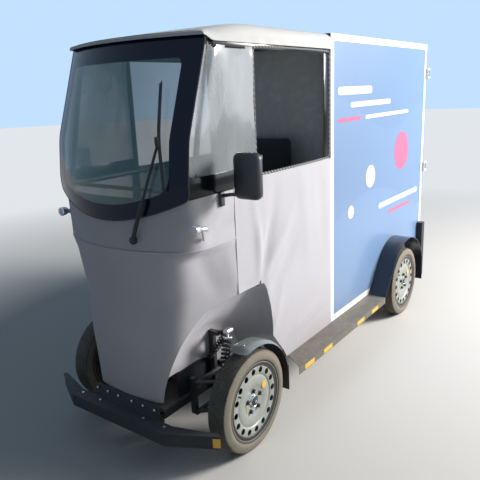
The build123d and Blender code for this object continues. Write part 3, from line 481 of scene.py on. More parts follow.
def chosen_faces(piece, test):
    """Enter edit mode with the faces that pass the test selected."""
    take_up(piece)
    bpy.ops.object.mode_set(mode="EDIT")
    bpy.ops.mesh.select_mode(type="FACE")
    bpy.ops.mesh.select_all(action="DESELECT")
    bpy.ops.object.mode_set(mode="OBJECT")
    for face in piece.data.polygons:
        face.select = test(face)
    bpy.ops.object.mode_set(mode="EDIT")


def tidied(piece, merge=0.00002):
    """Merge doubles and turn the faces outwards."""
    take_up(piece)
    bpy.ops.object.mode_set(mode="EDIT")
    bpy.ops.mesh.select_all(action="SELECT")
    bpy.ops.mesh.remove_doubles(threshold=merge)
    bpy.ops.mesh.normals_make_consistent(inside=False)
    bpy.ops.object.mode_set(mode="OBJECT")
    return piece


def sheet_grid(name, columns, rows, place):
    """A grid whose vertices are laid at place(u, v), with u and v from 0 to 1."""
    drop_selection()
    bpy.ops.mesh.primitive_grid_add(x_subdivisions=columns, y_subdivisions=rows, size=2.0)
    piece = named(name)
    for vertex in piece.data.vertices:
        vertex.co = place((vertex.co.x + 1) / 2, (vertex.co.y + 1) / 2)
    return piece


def faced(piece, direction):
    """Turn an open sheet so that most of its faces look along the direction."""
    total = sum(face.normal.dot(direction) * face.area for face in piece.data.polygons)
    if total < 0:
        take_up(piece)
        bpy.ops.object.mode_set(mode="EDIT")
        bpy.ops.mesh.select_all(action="SELECT")
        bpy.ops.mesh.flip_normals()
        bpy.ops.object.mode_set(mode="OBJECT")
    return piece


def block(name, low, high, bevel=0.0, segments=2):
    """A box between two corners, with rounded edges."""
    low, high = Vector(low), Vector(high)
    drop_selection()
    bpy.ops.mesh.primitive_cube_add(size=1.0, location=(low + high) / 2, scale=high - low)
    piece = named(name)
    if bevel:
        modified(piece, "BEVEL", width=bevel, segments=segments, limit_method="NONE")
    return piece


def rod(name, start, end, radius, sides=20, bevel=0.0):
    """A round bar between two points."""
    start, end = Vector(start), Vector(end)
    run = end - start
    drop_selection()
    turn = run.to_track_quat("Z", "Y").to_euler()
    bpy.ops.mesh.primitive_cylinder_add(
        vertices=sides, radius=radius, depth=run.length, location=(start + end) / 2, rotation=turn
    )
    piece = named(name)
    if bevel:
        modified(piece, "BEVEL", width=bevel, segments=2, limit_method="ANGLE")
    return piece


def tube(name, points, radius, sides=3, closed=False):
    """A round tube along a smooth line through the points."""
    drop_selection()
    bpy.ops.curve.primitive_nurbs_path_add()
    line = bpy.context.object
    line.data.splines.clear()
    spline = line.data.splines.new("NURBS")
    spline.points.add(len(points) - 1)
    for control, point in zip(spline.points, points):
        control.co = (*point, 1.0)
    spline.order_u = 3
    spline.use_endpoint_u = not closed
    spline.use_cyclic_u = closed
    spline.resolution_u = 4
    line.data.bevel_depth = radius
    line.data.bevel_resolution = sides
    line.data.use_fill_caps = not closed
    bpy.ops.object.convert(target="MESH")
    return tidied(named(name))


def turned(name, profile, centre, steps=64, axis="X"):
    """A solid of revolution. The profile is a closed loop of (along, radius) about the axis."""
    drop_selection()
    bpy.ops.mesh.primitive_circle_add(vertices=len(profile), radius=1.0, location=(0, 0, 0))
    piece = named(name)
    centre = Vector(centre)
    for vertex, (along, radius) in zip(piece.data.vertices, profile):
        offset = Vector((along, 0, radius)) if axis == "X" else Vector((radius, along, 0))
        vertex.co = centre + (Vector((radius, 0, along)) if axis == "Z" else offset)
    take_up(piece)
    bpy.ops.object.mode_set(mode="EDIT")
    bpy.ops.mesh.select_all(action="SELECT")
    direction = {"X": (1, 0, 0), "Y": (0, 1, 0), "Z": (0, 0, 1)}[axis]
    bpy.ops.mesh.spin(steps=steps, angle=2 * math.pi, center=centre, axis=direction)
    bpy.ops.object.mode_set(mode="OBJECT")
    return tidied(piece, 0.0001)


def joined(name, pieces):
    """Several pieces as one."""
    take_up(*pieces)
    if len(pieces) > 1:
        bpy.ops.object.join()
    pieces[0].name = name
    pieces[0].data.name = name
    return pieces[0]


def copied(piece, name, matrix):
    """A copy with its own mesh, moved by the matrix."""
    take_up(piece)
    bpy.ops.object.duplicate()
    copy = bpy.context.object
    copy.name = name
    copy.data.name = name
    copy.data.transform(matrix)
    return copy


def mirrored_copy(piece, name):
    """The piece's mirror image on the other side, as its own mesh."""
    copy = copied(piece, name, Matrix.Scale(-1, 4, (1, 0, 0)))
    copy.data.flip_normals()
    return copy


def thickened(piece, thickness):
    """The piece's sheet given a thickness, inwards from its outer face."""
    return modified(piece, "SOLIDIFY", thickness=thickness, offset=-1.0)


def settled(piece, body, slot, material, replaces=()):
    """Give a finished piece its material, its body and what it stands for."""
    piece.data.materials.clear()
    piece.data.materials.append(MATERIALS[material])
    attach(piece, body)
    if replaces:
        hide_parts(*replaces)
    return piece


def smooth_step(value, low, high):
    share = min(1.0, max(0.0, (value - low) / (high - low)))
    return share * share * (3 - 2 * share)


def blended(table, key):
    """Row of a table at a key between its first columns, joined by straight lines."""
    if key <= table[0][0]:
        return table[0][1:]
    for low, high in zip(table, table[1:]):
        if key <= high[0]:
            share = (key - low[0]) / (high[0] - low[0])
            return tuple(a + (b - a) * share for a, b in zip(low[1:], high[1:]))
    return table[-1][1:]


def sheet_area(piece):
    """Area of one side of a thin closed sheet."""
    return sum(face.area for face in piece.data.polygons) / 2


def declare_stretched(piece, width, length):
    """Work out the area of a piece of cloth or film, at most width by length; the result is not kept."""
    area = min(sheet_area(piece), width * length)


# Shape of the cab's front
NOSE_ROWS = (
    # height, corner half width, corner station, forward bow of the middle, corner rounding
    (0.325, 0.230, -0.340, 0.022, 0.045),
    (0.600, 0.305, -0.304, 0.060, 0.060),
    (0.850, 0.336, -0.280, 0.090, 0.070),
    (1.112, 0.366, -0.306, 0.080, 0.070),
)
COWL_ROWS = (
    # height, corner half width, corner station, forward bow of the middle, corner rounding
    (1.112, 0.440, -0.262, 0.128, 0.090),
    (1.359, 0.440, -0.262, 0.104, 0.040),
)
ARCH_PROFILE = (
    # distance across, radius of the wheel arch about the front axle
    (0.224, 0.330),
    (0.262, 0.372),
    (0.320, 0.450),
    (0.373, 0.514),
    (0.440, 0.548),
)
RIDGE_Z = 1.112
BELT_Z = 1.359
SEAM_STATION = 0.050
FRONT_SHARE = 0.56
CORNER_SHARE = 0.70


def front_point(rows, height, share):
    """Point of the half outline of nose or cowl, from the middle (0) to the seam (1)."""
    half, corner, bow, rounding = blended(rows, height)
    seam = Vector((CAB_HALF, SEAM_STATION))
    edge = Vector((half, corner))
    run = (seam - edge).normalized()

    def front(x):
        return Vector((x, corner - bow * (1 - (x / half) ** 2)))

    before = front(half - rounding)
    after = edge + run * rounding
    if share < FRONT_SHARE:
        flat = front((half - rounding) * share / FRONT_SHARE)
    elif share < CORNER_SHARE:
        t = (share - FRONT_SHARE) / (CORNER_SHARE - FRONT_SHARE)
        flat = before * (1 - t) ** 2 + edge * 2 * t * (1 - t) + after * t * t
    else:
        flat = after.lerp(seam, (share - CORNER_SHARE) / (1 - CORNER_SHARE))
    return Vector((flat.x, station(flat.y), height))


def share_across(rows, height, x):
    """Share of the half outline at which it is this far across."""
    low, high = 0.0, 1.0
    for _ in range(30):
        middle = (low + high) / 2
        if front_point(rows, height, middle).x < x:
            low = middle
        else:
            high = middle
    return low


def arch_point(x, angle, growth=1.0):
    """Point on the wheel arch's lining at an angle about the axle, 0 to the rear and 90 degrees up."""
    first = ARCH_PROFILE[0][1]
    radius = first + (blended(ARCH_PROFILE, x)[0] - first) * growth
    return Vector((x, FRONT_Y + radius * math.cos(angle), AXLE_Z + radius * math.sin(angle)))


def crease_point(angle):
    """Where the wheel arch cuts the nose's outer face."""
    low, high = ARCH_PROFILE[0][0], CAB_HALF
    for _ in range(30):
        x = (low + high) / 2
        point = arch_point(x, angle)
        share = share_across(NOSE_ROWS, point.z, x)
        if front_point(NOSE_ROWS, point.z, share).y < point.y:
            low = x
        else:
            high = x
    return arch_point(low, angle)


CREASE_LOW_ANGLE = math.radians(151)
CREASE_TOP_ANGLE = math.radians(84)
CREASE_STEPS = 26
REAR_STATION = 0.353
ARCH_TURN_STATION = 0.257
ARCH_TOP_Z = 0.816
ARCH_TOP_FALL = 0.005
ARCH_TURN_Z = 0.811
ARCH_LOW_Z = 0.470
SILL_STATION = 0.474
SILL_Z = 0.317
WELL_X = 0.2225
HEM_LINE = (
    # station and height of the arch fabric's lower hem on the inner wall
    (-0.215, 0.440), (-0.194, 0.437), (-0.058, 0.441), (0.028, 0.421), (0.140, 0.343), (0.300, 0.330),
)


def arch_edge(distance):
    """Height of the side fabric's edge over and behind the front wheel."""
    if distance <= ARCH_TURN_STATION:
        return ARCH_TOP_Z - ARCH_TOP_FALL * (distance - SEAM_STATION) / (ARCH_TURN_STATION - SEAM_STATION)
    if distance <= REAR_STATION:
        share = (distance - ARCH_TURN_STATION) / (REAR_STATION - ARCH_TURN_STATION)
        return ARCH_TURN_Z - (ARCH_TURN_Z - ARCH_LOW_Z) * (1 - math.sqrt(max(0.0, 1 - share * share)))
    if distance < SILL_STATION:
        share = (distance - REAR_STATION) / (SILL_STATION - REAR_STATION)
        return ARCH_LOW_Z + (SILL_Z - ARCH_LOW_Z) * share
    return max(FLOOR_Z, SILL_Z - (distance - SILL_STATION) * 6)


def turn_in(distance, height):
    """How far the side fabric rolls in towards its edge over the wheel."""
    along = smooth_step(distance, SEAM_STATION, 0.12) * (1 - smooth_step(distance, 0.26, REAR_STATION))
    return 0.004 * along * (1 - smooth_step(height - arch_edge(distance), 0.0, 0.09))


# Tension folds of a panel: start and end as (station, height), half width, depth
NOSE_FOLDS = (
    ((-0.330, 1.060), (-0.320, 0.520), 0.030, 0.0030),
    ((-0.180, 1.080), (-0.060, 0.820), 0.045, -0.0040),
    ((-0.020, 1.080), (0.040, 0.840), 0.035, 0.0030),
)
SIDE_FOLDS = (
    ((0.250, 0.820), (0.600, 1.150), 0.040, 0.0075),
    ((0.250, 0.822), (0.420, 1.200), 0.035, -0.0060),
    ((0.240, 0.826), (0.240, 1.160), 0.028, 0.0050),
    ((0.340, 0.700), (0.640, 1.000), 0.050, -0.0060),
    ((0.200, 1.340), (0.260, 0.900), 0.030, 0.0030),
    ((0.420, 1.360), (0.300, 0.860), 0.045, -0.0030),
    ((0.560, 0.400), (0.900, 0.520), 0.020, 0.0040),
    ((0.620, 0.350), (0.980, 0.440), 0.016, -0.0035),
    ((0.700, 1.360), (0.780, 0.700), 0.060, 0.0030),
    ((0.900, 1.360), (0.960, 0.800), 0.050, -0.0025),
    ((0.365, 0.500), (0.470, 0.760), 0.030, 0.0035),
)
COWL_FOLDS = (
    ((-0.230, 1.170), (0.020, 1.300), 0.022, 0.0050),
    ((-0.180, 1.150), (0.040, 1.210), 0.026, -0.0035),
)


def fold_height(folds, along, height):
    """Bulge of the folds at one place of a panel."""
    here = Vector((along, height))
    total = 0.0
    for start, end, width, depth in folds:
        start, end = Vector(start), Vector(end)
        run = end - start
        share = (here - start).dot(run) / run.length_squared
        off = (here - start - run * share).length
        ends = smooth_step(share, -0.15, 0.25) * (1 - smooth_step(share, 0.65, 1.15))
        total += depth * math.exp(-((off / width) ** 2)) * ends
    return total * bpy.context.scene.cargo_cloth.fold_depth


def nose_cloth():
    """Nose fabric: both flanks and the front, down to the arch creases."""
    steps = [CREASE_LOW_ANGLE + (CREASE_TOP_ANGLE - CREASE_LOW_ANGLE) * i / CREASE_STEPS
             for i in range(CREASE_STEPS + 1)]
    crease = [crease_point(angle) for angle in steps]
    low_rows = 8
    top_rows = 20
    below = [crease_point(math.radians(171 + (151 - 171) * i / low_rows)) for i in range(low_rows)]
    edge = below + crease
    rows = [(point.z, share_across(NOSE_ROWS, point.z, point.x)) for point in edge]
    rows[0] = (NOSE_ROWS[0][0], share_across(NOSE_ROWS, NOSE_ROWS[0][0], edge[0].x))
    top = rows[-1][0]
    rows[-1] = (top, 1.0)
    for i in range(1, top_rows + 1):
        rows.append((top + (RIDGE_Z - top) * i / top_rows, 1.0))

    def place(u, v):
        height, end = rows[round(v * (len(rows) - 1))]
        share = u * end
        point = front_point(NOSE_ROWS, height, share)
        flare = smooth_step(height, RIDGE_Z - 0.055, RIDGE_Z)
        if flare:
            point = point.lerp(front_point(COWL_ROWS, RIDGE_Z, share), flare)
            point.z = height
        bulge = fold_height(NOSE_FOLDS, point.y - FRONT_Y, height) * smooth_step(share, 0.3, 0.6)
        ripple = 0.0016 * math.sin(point.x * 34 + height * 3) * smooth_step(height, 0.35, 0.7)
        return point + Vector((bulge, -bulge * 0.3 - ripple * (1 - share), 0))

    half = sheet_grid("nose_cloth", 48, len(rows) - 1, place)
    modified(half, "MIRROR", use_axis=(True, False, False), use_mirror_merge=True, merge_threshold=0.001)
    faced(half, Vector((0, -1, 0)))
    thickened(half, bpy.context.scene.cargo_cloth.thickness)
    smoothed(half, 50)
    return half, steps, crease


def arch_cloth(steps, crease):
    """Fabric that turns in round one front wheel, from the crease to its hem on the inner wall."""
    inner_x, first = ARCH_PROFILE[0]
    rows = [(angle, point.x, 1.0) for angle, point in zip(steps, crease)]
    rear_steps, low_steps = 26, 8
    distances = [SEAM_STATION + (REAR_STATION - SEAM_STATION) * math.sin(i / rear_steps * math.pi / 2)
                 for i in range(1, rear_steps + 1)]
    distances += [REAR_STATION + 0.105 * i / low_steps for i in range(1, low_steps + 1)]
    for distance in distances:
        height = arch_edge(distance)
        edge_x = CAB_HALF - 0.003 - turn_in(distance, height)
        reach = math.hypot(distance, height - AXLE_Z)
        growth = (reach - first) / (blended(ARCH_PROFILE, edge_x)[0] - first)
        rows.append((math.atan2(height - AXLE_Z, distance), edge_x, growth))
    across_steps = 16

    def place(u, v):
        angle, edge_x, growth = rows[round(v * (len(rows) - 1))]
        column = round(u * (across_steps + 4))
        if column >= 4:
            share = (column - 4) / across_steps
            point = arch_point(inner_x + (edge_x - inner_x) * share, angle, growth)
            folds = 0.0045 * math.sin(angle * 9 + share * 4) * math.sin(share * math.pi)
            return point + Vector((0, folds * math.cos(angle), folds * math.sin(angle)))
        rim = arch_point(inner_x, angle, growth)
        hem = min(blended(HEM_LINE, rim.y - FRONT_Y)[0], rim.z - 0.002)
        return Vector((inner_x, rim.y, hem + (rim.z - hem) * column / 4))

    return sheet_grid("arch_cloth_left", across_steps + 4, len(rows) - 1, place)


def well_panels():
    """Dark wall inside the wheel arch and the panel behind the wheel."""
    def wall(u, v):
        distance = -0.215 + 0.615 * u
        top = min(blended(HEM_LINE, min(distance, 0.3))[0] + 0.014, 0.450)
        return Vector((WELL_X, station(distance), 0.290 + (top - 0.290) * v))

    def rear(u, v):
        low = Vector((WELL_X, 0.420, 0.300)).lerp(Vector((0.435, 0.500, 0.302)), u)
        high = Vector((WELL_X, 0.340, 0.380)).lerp(Vector((0.435, 0.410, 0.420)), u)
        point = low.lerp(high, v)
        return Vector((point.x, station(point.y), point.z))

    inner = sheet_grid("wheel_well_panel_left", 24, 2, wall)
    faced(inner, Vector((1, 0, 0)))
    thickened(inner, 0.002)
    behind = sheet_grid("rear_sheet", 2, 2, rear)
    faced(behind, Vector((0, -1, 0.5)))
    thickened(behind, 0.002)
    return smoothed(joined("wheel_well_panel_left", [inner, behind]))


class CARGOBIKE_OT_nose(Operator):
    """Make the nose fabric and the linings of its wheel arches."""

    bl_idname = "cargobike.nose"
    bl_label = "Nose fabric"

    def execute(self, context):
        piece, steps, crease = nose_cloth()
        settled(piece, "vehicle", "grey_fabric", "cab_cloth", replaces=("nose_cover",))
        declare_stretched(piece, 2.2, 1.1)
        arch = arch_cloth(steps, crease)
        faced(arch, Vector((1, 0, -0.3)))
        thickened(arch, context.scene.cargo_cloth.thickness)
        smoothed(arch, 50)
        other = mirrored_copy(arch, "arch_cloth_right")
        panel = well_panels()
        for part in (panel, mirrored_copy(panel, "wheel_well_panel_right")):
            replaced = ("wheel_linings",) if part is panel else ()
            settled(part, "vehicle", "black_trim", "well_panel", replaces=replaced)
        for part, side in ((arch, "left"), (other, "right")):
            settled(part, "vehicle", "grey_fabric", "cab_cloth")
            declare_stretched(part, 0.95, 0.55)
        return {"FINISHED"}


class CARGOBIKE_OT_cowl(Operator):
    """Make the cowl fabric between the ridge and the windscreen, with its piping."""

    bl_idname = "cargobike.cowl"
    bl_label = "Cowl fabric"

    def execute(self, context):
        rows = 18

        def place(u, v):
            height = RIDGE_Z + (BELT_Z - RIDGE_Z) * v
            point = front_point(COWL_ROWS, height, u)
            bulge = fold_height(COWL_FOLDS, point.y - FRONT_Y, height) * smooth_step(u, 0.6, 0.75)
            return point + Vector((bulge, 0, 0))

        piece = sheet_grid("cowl_cloth", 48, rows, place)
        modified(piece, "MIRROR", use_axis=(True, False, False), use_mirror_merge=True, merge_threshold=0.001)
        faced(piece, Vector((0, -1, 0)))
        thickened(piece, context.scene.cargo_cloth.thickness)
        smoothed(piece, 50)
        settled(piece, "vehicle", "grey_fabric", "cab_cloth", replaces=("cowl",))
        declare_stretched(piece, 1.9, 0.35)
        line = [front_point(COWL_ROWS, RIDGE_Z, i / 24) for i in range(24, -1, -1)]
        line = [Vector((-p.x, p.y, p.z)) for p in line[:-1]] + list(reversed(line))
        ridge = tube("ridge_piping", line, 0.0042)
        smoothed(ridge)
        settled(ridge, "vehicle", "grey_fabric", "cab_cloth")
        return {"FINISHED"}


class CARGOBIKE_OT_side_panels(Operator):
    """Make the flat side fabric with its folds and seams."""

    bl_idname = "cargobike.side_panels"
    bl_label = "Side fabric"

    def execute(self, context):
        rows = 56
        columns_front = 24
        columns_rear = 40
        columns = columns_front + columns_rear
        window_station = 0.240
        box_station = BOX_LOW.y - FRONT_Y

        def place(u, v):
            column = round(u * columns)
            if column <= columns_front:
                share = math.sin(column / columns_front * math.pi / 2)
                distance = SEAM_STATION + (REAR_STATION - SEAM_STATION) * share
            else:
                share = (column - columns_front) / columns_rear
                distance = REAR_STATION + (box_station - REAR_STATION) * share
            top = BELT_Z if distance < window_station else 1.384
            height = arch_edge(distance)
            height += (top - height) * v
            bulge = fold_height(SIDE_FOLDS, distance, height)
            edges = smooth_step(distance, SEAM_STATION, SEAM_STATION + 0.03)
            edges *= 1 - smooth_step(distance, box_station - 0.05, box_station - 0.005)
            x = CAB_HALF + bulge * edges - turn_in(distance, height)
            return Vector((x, station(distance), height))

        piece = sheet_grid("side_cloth_left", columns, rows, place)
        faced(piece, Vector((1, 0, 0)))
        thickened(piece, context.scene.cargo_cloth.thickness)
        smoothed(piece, 50)
        other = mirrored_copy(piece, "side_cloth_right")
        for part, side in ((piece, "left"), (other, "right")):
            settled(part, "vehicle", "grey_fabric", "cab_cloth", replaces=(f"side_panel_{side}",))
            declare_stretched(part, 1.1, 1.2)
        for side, sign in SIDES:
            spot = Vector((sign * CAB_HALF, station(0.250), 0.819))
            out = Vector((sign, 0, 0))
            button = rod(f"arch_button_{side}", spot - out * 0.004, spot + out * 0.006, 0.0095, 20, 0.003)
            settled(smoothed(button), "vehicle", "grey_fabric", "cab_cloth")
            x = sign * (CAB_HALF + 0.001)
            seam = block(
                f"seam_{side}",
                (min(x, x + sign * 0.0012), station(SEAM_STATION - 0.006), 0.818),
                (max(x, x + sign * 0.0012), station(SEAM_STATION + 0.006), BELT_Z),
                0.0005,
            )
            settled(smoothed(seam), "vehicle", "grey_fabric", "cab_cloth")
        return {"FINISHED"}


# Roof
class CARGOBIKE_OT_roof(Operator):
    """Make the roof cover: one arched sheet with rounded shoulders and a hem."""

    bl_idname = "cargobike.roof"
    bl_label = "Roof fabric"

    def execute(self, context):
        half = ROOF_HIGH.x
        top = ROOF_HIGH.z
        hem = ROOF_LOW.z
        front_middle = ROOF_LOW.y
        bow = 0.100
        brow_station = 0.260
        shoulder = 0.055
        lip_z = 2.044
        rear = BOX_LOW.y
        hem_share = 0.05
        front_share = 0.45

        def ridge(v):
            """Y, height and bow of the middle line at this share from the front hem."""
            if v < hem_share:
                return front_middle, lip_z + 0.014 * v / hem_share, bow
            if v < front_share:
                t = (v - hem_share) / (front_share - hem_share)
                y = front_middle + (station(brow_station) - front_middle) * t
                return y, lip_z + 0.014 + (top - lip_z - 0.014) * math.sin(t * math.pi / 2), bow * (1 - t) ** 1.5
            t = (v - front_share) / (1 - front_share)
            return station(brow_station) + (rear - station(brow_station)) * t, top, 0.0

        def place(u, v):
            y, height, curve = ridge(v)
            side = 2 * u - 1
            reach = abs(side)
            low = hem + (lip_z - hem) * (1 - smooth_step(y, front_middle, front_middle + 0.10))
            drop = height - low
            radius = min(shoulder, drop * 0.9)
            flat_share, round_share = 0.62, 0.84
            if reach < flat_share:
                x = (half - radius) * reach / flat_share
                z = height
            elif reach < round_share:
                turn = (reach - flat_share) / (round_share - flat_share) * math.pi / 2
                x = half - radius + radius * math.sin(turn)
                z = height - radius * (1 - math.cos(turn))
            else:
                x = half
                z = height - radius - (drop - radius) * (reach - round_share) / (1 - round_share)
            y += curve * (x / half) ** 2
            sag = 0.006 * math.cos(x / half * math.pi / 2) * math.sin((y - front_middle) * 9) if v > 0.5 else 0.0
            flutter = 0.0020 * math.sin(y * 46) * smooth_step(reach, 0.8, 1.0) * smooth_step(v, 0.2, 0.5)
            return Vector((math.copysign(x + flutter, side), y, z - abs(sag)))

        piece = sheet_grid("roof_cloth", 64, 72, place)
        faced(piece, Vector((0, 0, 1)))
        thickened(piece, context.scene.cargo_cloth.thickness)
        smoothed(piece, 50)
        settled(piece, "vehicle", "roof_fabric", "roof_cloth", replaces=("roof_cover",))
        declare_stretched(piece, 1.3, 1.6)
        return {"FINISHED"}


# Windscreen
SCREEN_ROWS = (
    # height, side station, forward bow of the middle
    (1.190, -0.262, 0.118),
    (1.416, -0.274, 0.104),
    (1.610, -0.252, 0.100),
    (2.050, -0.096, 0.100),
)
SCREEN_HALF = CAB_HALF
SCREEN_GAP = 0.008
BORDER_WIDTH = 0.080
SCREEN_LOW = (1.250, 0.105, 0.020)
SCREEN_HIGH = 2.060
PANE_LOW = (1.323, 0.075, 0.050)
PANE_HIGH = 1.955


def screen_point(x, z, lift=0.0):
    """Point of the windscreen's outer face, moved out by the lift."""
    side, bow = blended(SCREEN_ROWS, z)
    y = station(side) - SCREEN_GAP - bow * (1 - (x / SCREEN_HALF) ** 2)
    return Vector((x, y - lift, z))


def corner_rise(x, half, radius):
    """How far a rounded corner lifts the edge at this distance across."""
    over = abs(x) - (half - radius)
    if over <= 0:
        return 0.0
    return radius - math.sqrt(max(0.0, radius * radius - over * over))


def screen_low(x, border):
    """Lower edge between the outer one and the pane's: middle height, rise to the side, corner."""
    share = border / BORDER_WIDTH
    middle, rise, corner = (a + (b - a) * share for a, b in zip(SCREEN_LOW, PANE_LOW))
    half = SCREEN_HALF - border
    return middle + rise * (x / half) ** 2 + corner_rise(x, half, corner)


def screen_high(x, border):
    """Upper edge between the outer one and the pane's."""
    share = border / BORDER_WIDTH
    return SCREEN_HIGH + (PANE_HIGH - SCREEN_HIGH) * share - corner_rise(x, SCREEN_HALF - border, 0.030)


def across_spread(share, half):
    """Distance across for a share, with the columns closer towards the sides."""
    return half * math.sin((share - 0.5) * math.pi) * 0.6 + half * (2 * share - 1) * 0.4


def screen_rim(border, columns, rows):
    """Outline of the pane, smaller all round by the border, as points (x, z)."""
    half = SCREEN_HALF - border
    xs = [across_spread(i / columns, half) for i in range(columns + 1)]
    low_side, high_side = screen_low(half, border), screen_high(half, border)
    zs = [low_side + (high_side - low_side) * i / rows for i in range(1, rows)]
    rim = [(x, screen_low(x, border)) for x in xs]
    rim += [(half, z) for z in zs]
    rim += [(x, screen_high(x, border)) for x in reversed(xs)]
    rim += [(-half, z) for z in reversed(zs)]
    return rim


class CARGOBIKE_OT_windscreen(Operator):
    """Make the bowed windscreen: clear pane, black border and edge seal."""

    bl_idname = "cargobike.windscreen"
    bl_label = "Windscreen"

    def execute(self, context):
        columns, rows = 56, 24
        half = SCREEN_HALF - BORDER_WIDTH

        def pane_place(u, v):
            x = across_spread(u, half)
            low, high = screen_low(x, BORDER_WIDTH), screen_high(x, BORDER_WIDTH)
            return screen_point(x, low + (high - low) * v)

        pane = sheet_grid("windscreen_pane", columns, 40, pane_place)
        faced(pane, Vector((0, -1, 0)))
        thickened(pane, 0.004)
        smoothed(pane, 60)
        settled(pane, "vehicle", "clear_pane", "pane", replaces=("windscreen_glass",))

        outer = screen_rim(0.0, columns, rows)
        inner = screen_rim(BORDER_WIDTH, columns, rows)
        count = len(outer)

        def border_place(u, v):
            index = round(u * count) % count
            a, b = Vector(inner[index]), Vector(outer[index])
            spot = a.lerp(b, v)
            return screen_point(spot.x, spot.y)

        border = sheet_grid("windscreen_frame", count, 6, border_place)
        tidied(border)
        faced(border, Vector((0, -1, 0)))
        thickened(border, 0.005)
        smoothed(border, 50)
        settled(border, "vehicle", "black_trim", "screen_black", replaces=("windscreen_border",))

        line = [screen_point(x, z, -0.002) for x, z in screen_rim(-0.001, 40, 16)]
        seal = tube("windscreen_seal", line, 0.0035, closed=True)
        settled(smoothed(seal), "vehicle", "black_trim", "rubber")
        return {"FINISHED"}


class CARGOBIKE_OT_side_films(Operator):
    """Make the clear side films with their creases and the trim round the window."""

    bl_idname = "cargobike.side_films"
    bl_label = "Side films and window trim"

    def execute(self, context):
        low_z, high_z = 1.440, 2.006
        rear = 0.240
        front_rows = (
            # height, station of the film's front edge
            (low_z, -0.270),
            (1.500, -0.268),
            (1.620, -0.250),
            (high_z, -0.108),
        )

        def place(u, v):
            z = low_z + (high_z - low_z) * v
            start = blended(front_rows, z)[0]
            if v < 0.10:
                start += corner_rise(0.10 - v, 0.10, 0.10) * 0.5
            distance = start + (rear - start) * u
            wave = 0.0022 * math.sin(distance * 20 + z * 6) * math.sin(z * 5 + 1)
            wave += 0.0004 * math.sin(distance * 60 - z * 20)
            bend = 0.012 * (1 - smooth_step(u, 0.0, 0.22))
            calm = smooth_step(v, 0.0, 0.08) * (1 - smooth_step(v, 0.92, 1.0))
            return Vector((CAB_HALF + 0.001 + wave * calm - bend, station(distance), z))

        film = sheet_grid("side_film_left", 60, 64, place)
        faced(film, Vector((1, 0, 0)))
        thickened(film, 0.0012)
        smoothed(film, 60)
        other = mirrored_copy(film, "side_film_right")
        settled(film, "vehicle", "clear_film", "film", replaces=("side_films",))
        settled(other, "vehicle", "clear_film", "film")
        for part in (film, other):
            declare_stretched(part, 0.6, 0.75)

        sill, head = 1.388, 2.012
        front, back = 0.244, 1.036
        corner = 0.03
        outline = (
            (front, sill + corner), (front, head - corner), (front + corner * 0.3, head - corner * 0.3),
            (front + corner, head), (back - corner, head), (back - corner * 0.3, head - corner * 0.3),
            (back, head - corner), (back, sill + corner), (back - corner * 0.3, sill + corner * 0.3),
            (back - corner, sill), (front + corner, sill), (front + corner * 0.3, sill + corner * 0.3),
        )
        for side, sign in SIDES:
            x = sign * (CAB_HALF - 0.004)
            line = [Vector((x, station(distance), z)) for distance, z in outline]
            edging = tube(f"window_edging_{side}", line, 0.0075, closed=True)
            settled(smoothed(edging), "vehicle", "black_trim", "rope")
            low = (min(x, x + sign * 0.006), station(-0.276), BELT_Z - 0.006)
            high = (max(x, x + sign * 0.006), station(0.242), 1.446)
            band_x = sign * (CAB_HALF + 0.0010)
            band_low = (min(band_x, band_x - sign * 0.004), station(-0.060), 1.994)
            band_high = (max(band_x, band_x - sign * 0.004), station(1.040), 2.026)
            post_low = (band_low[0], station(0.966), 1.392)
            post_high = (band_high[0], station(1.040), 2.000)
            trim = joined(f"belt_trim_{side}", [
                block("belt", low, high, 0.002), block("hem_band", band_low, band_high, 0.001),
                block("rear_band", post_low, post_high, 0.001),
            ])
            settled(smoothed(trim), "vehicle", "black_trim", "band_black")
        return {"FINISHED"}


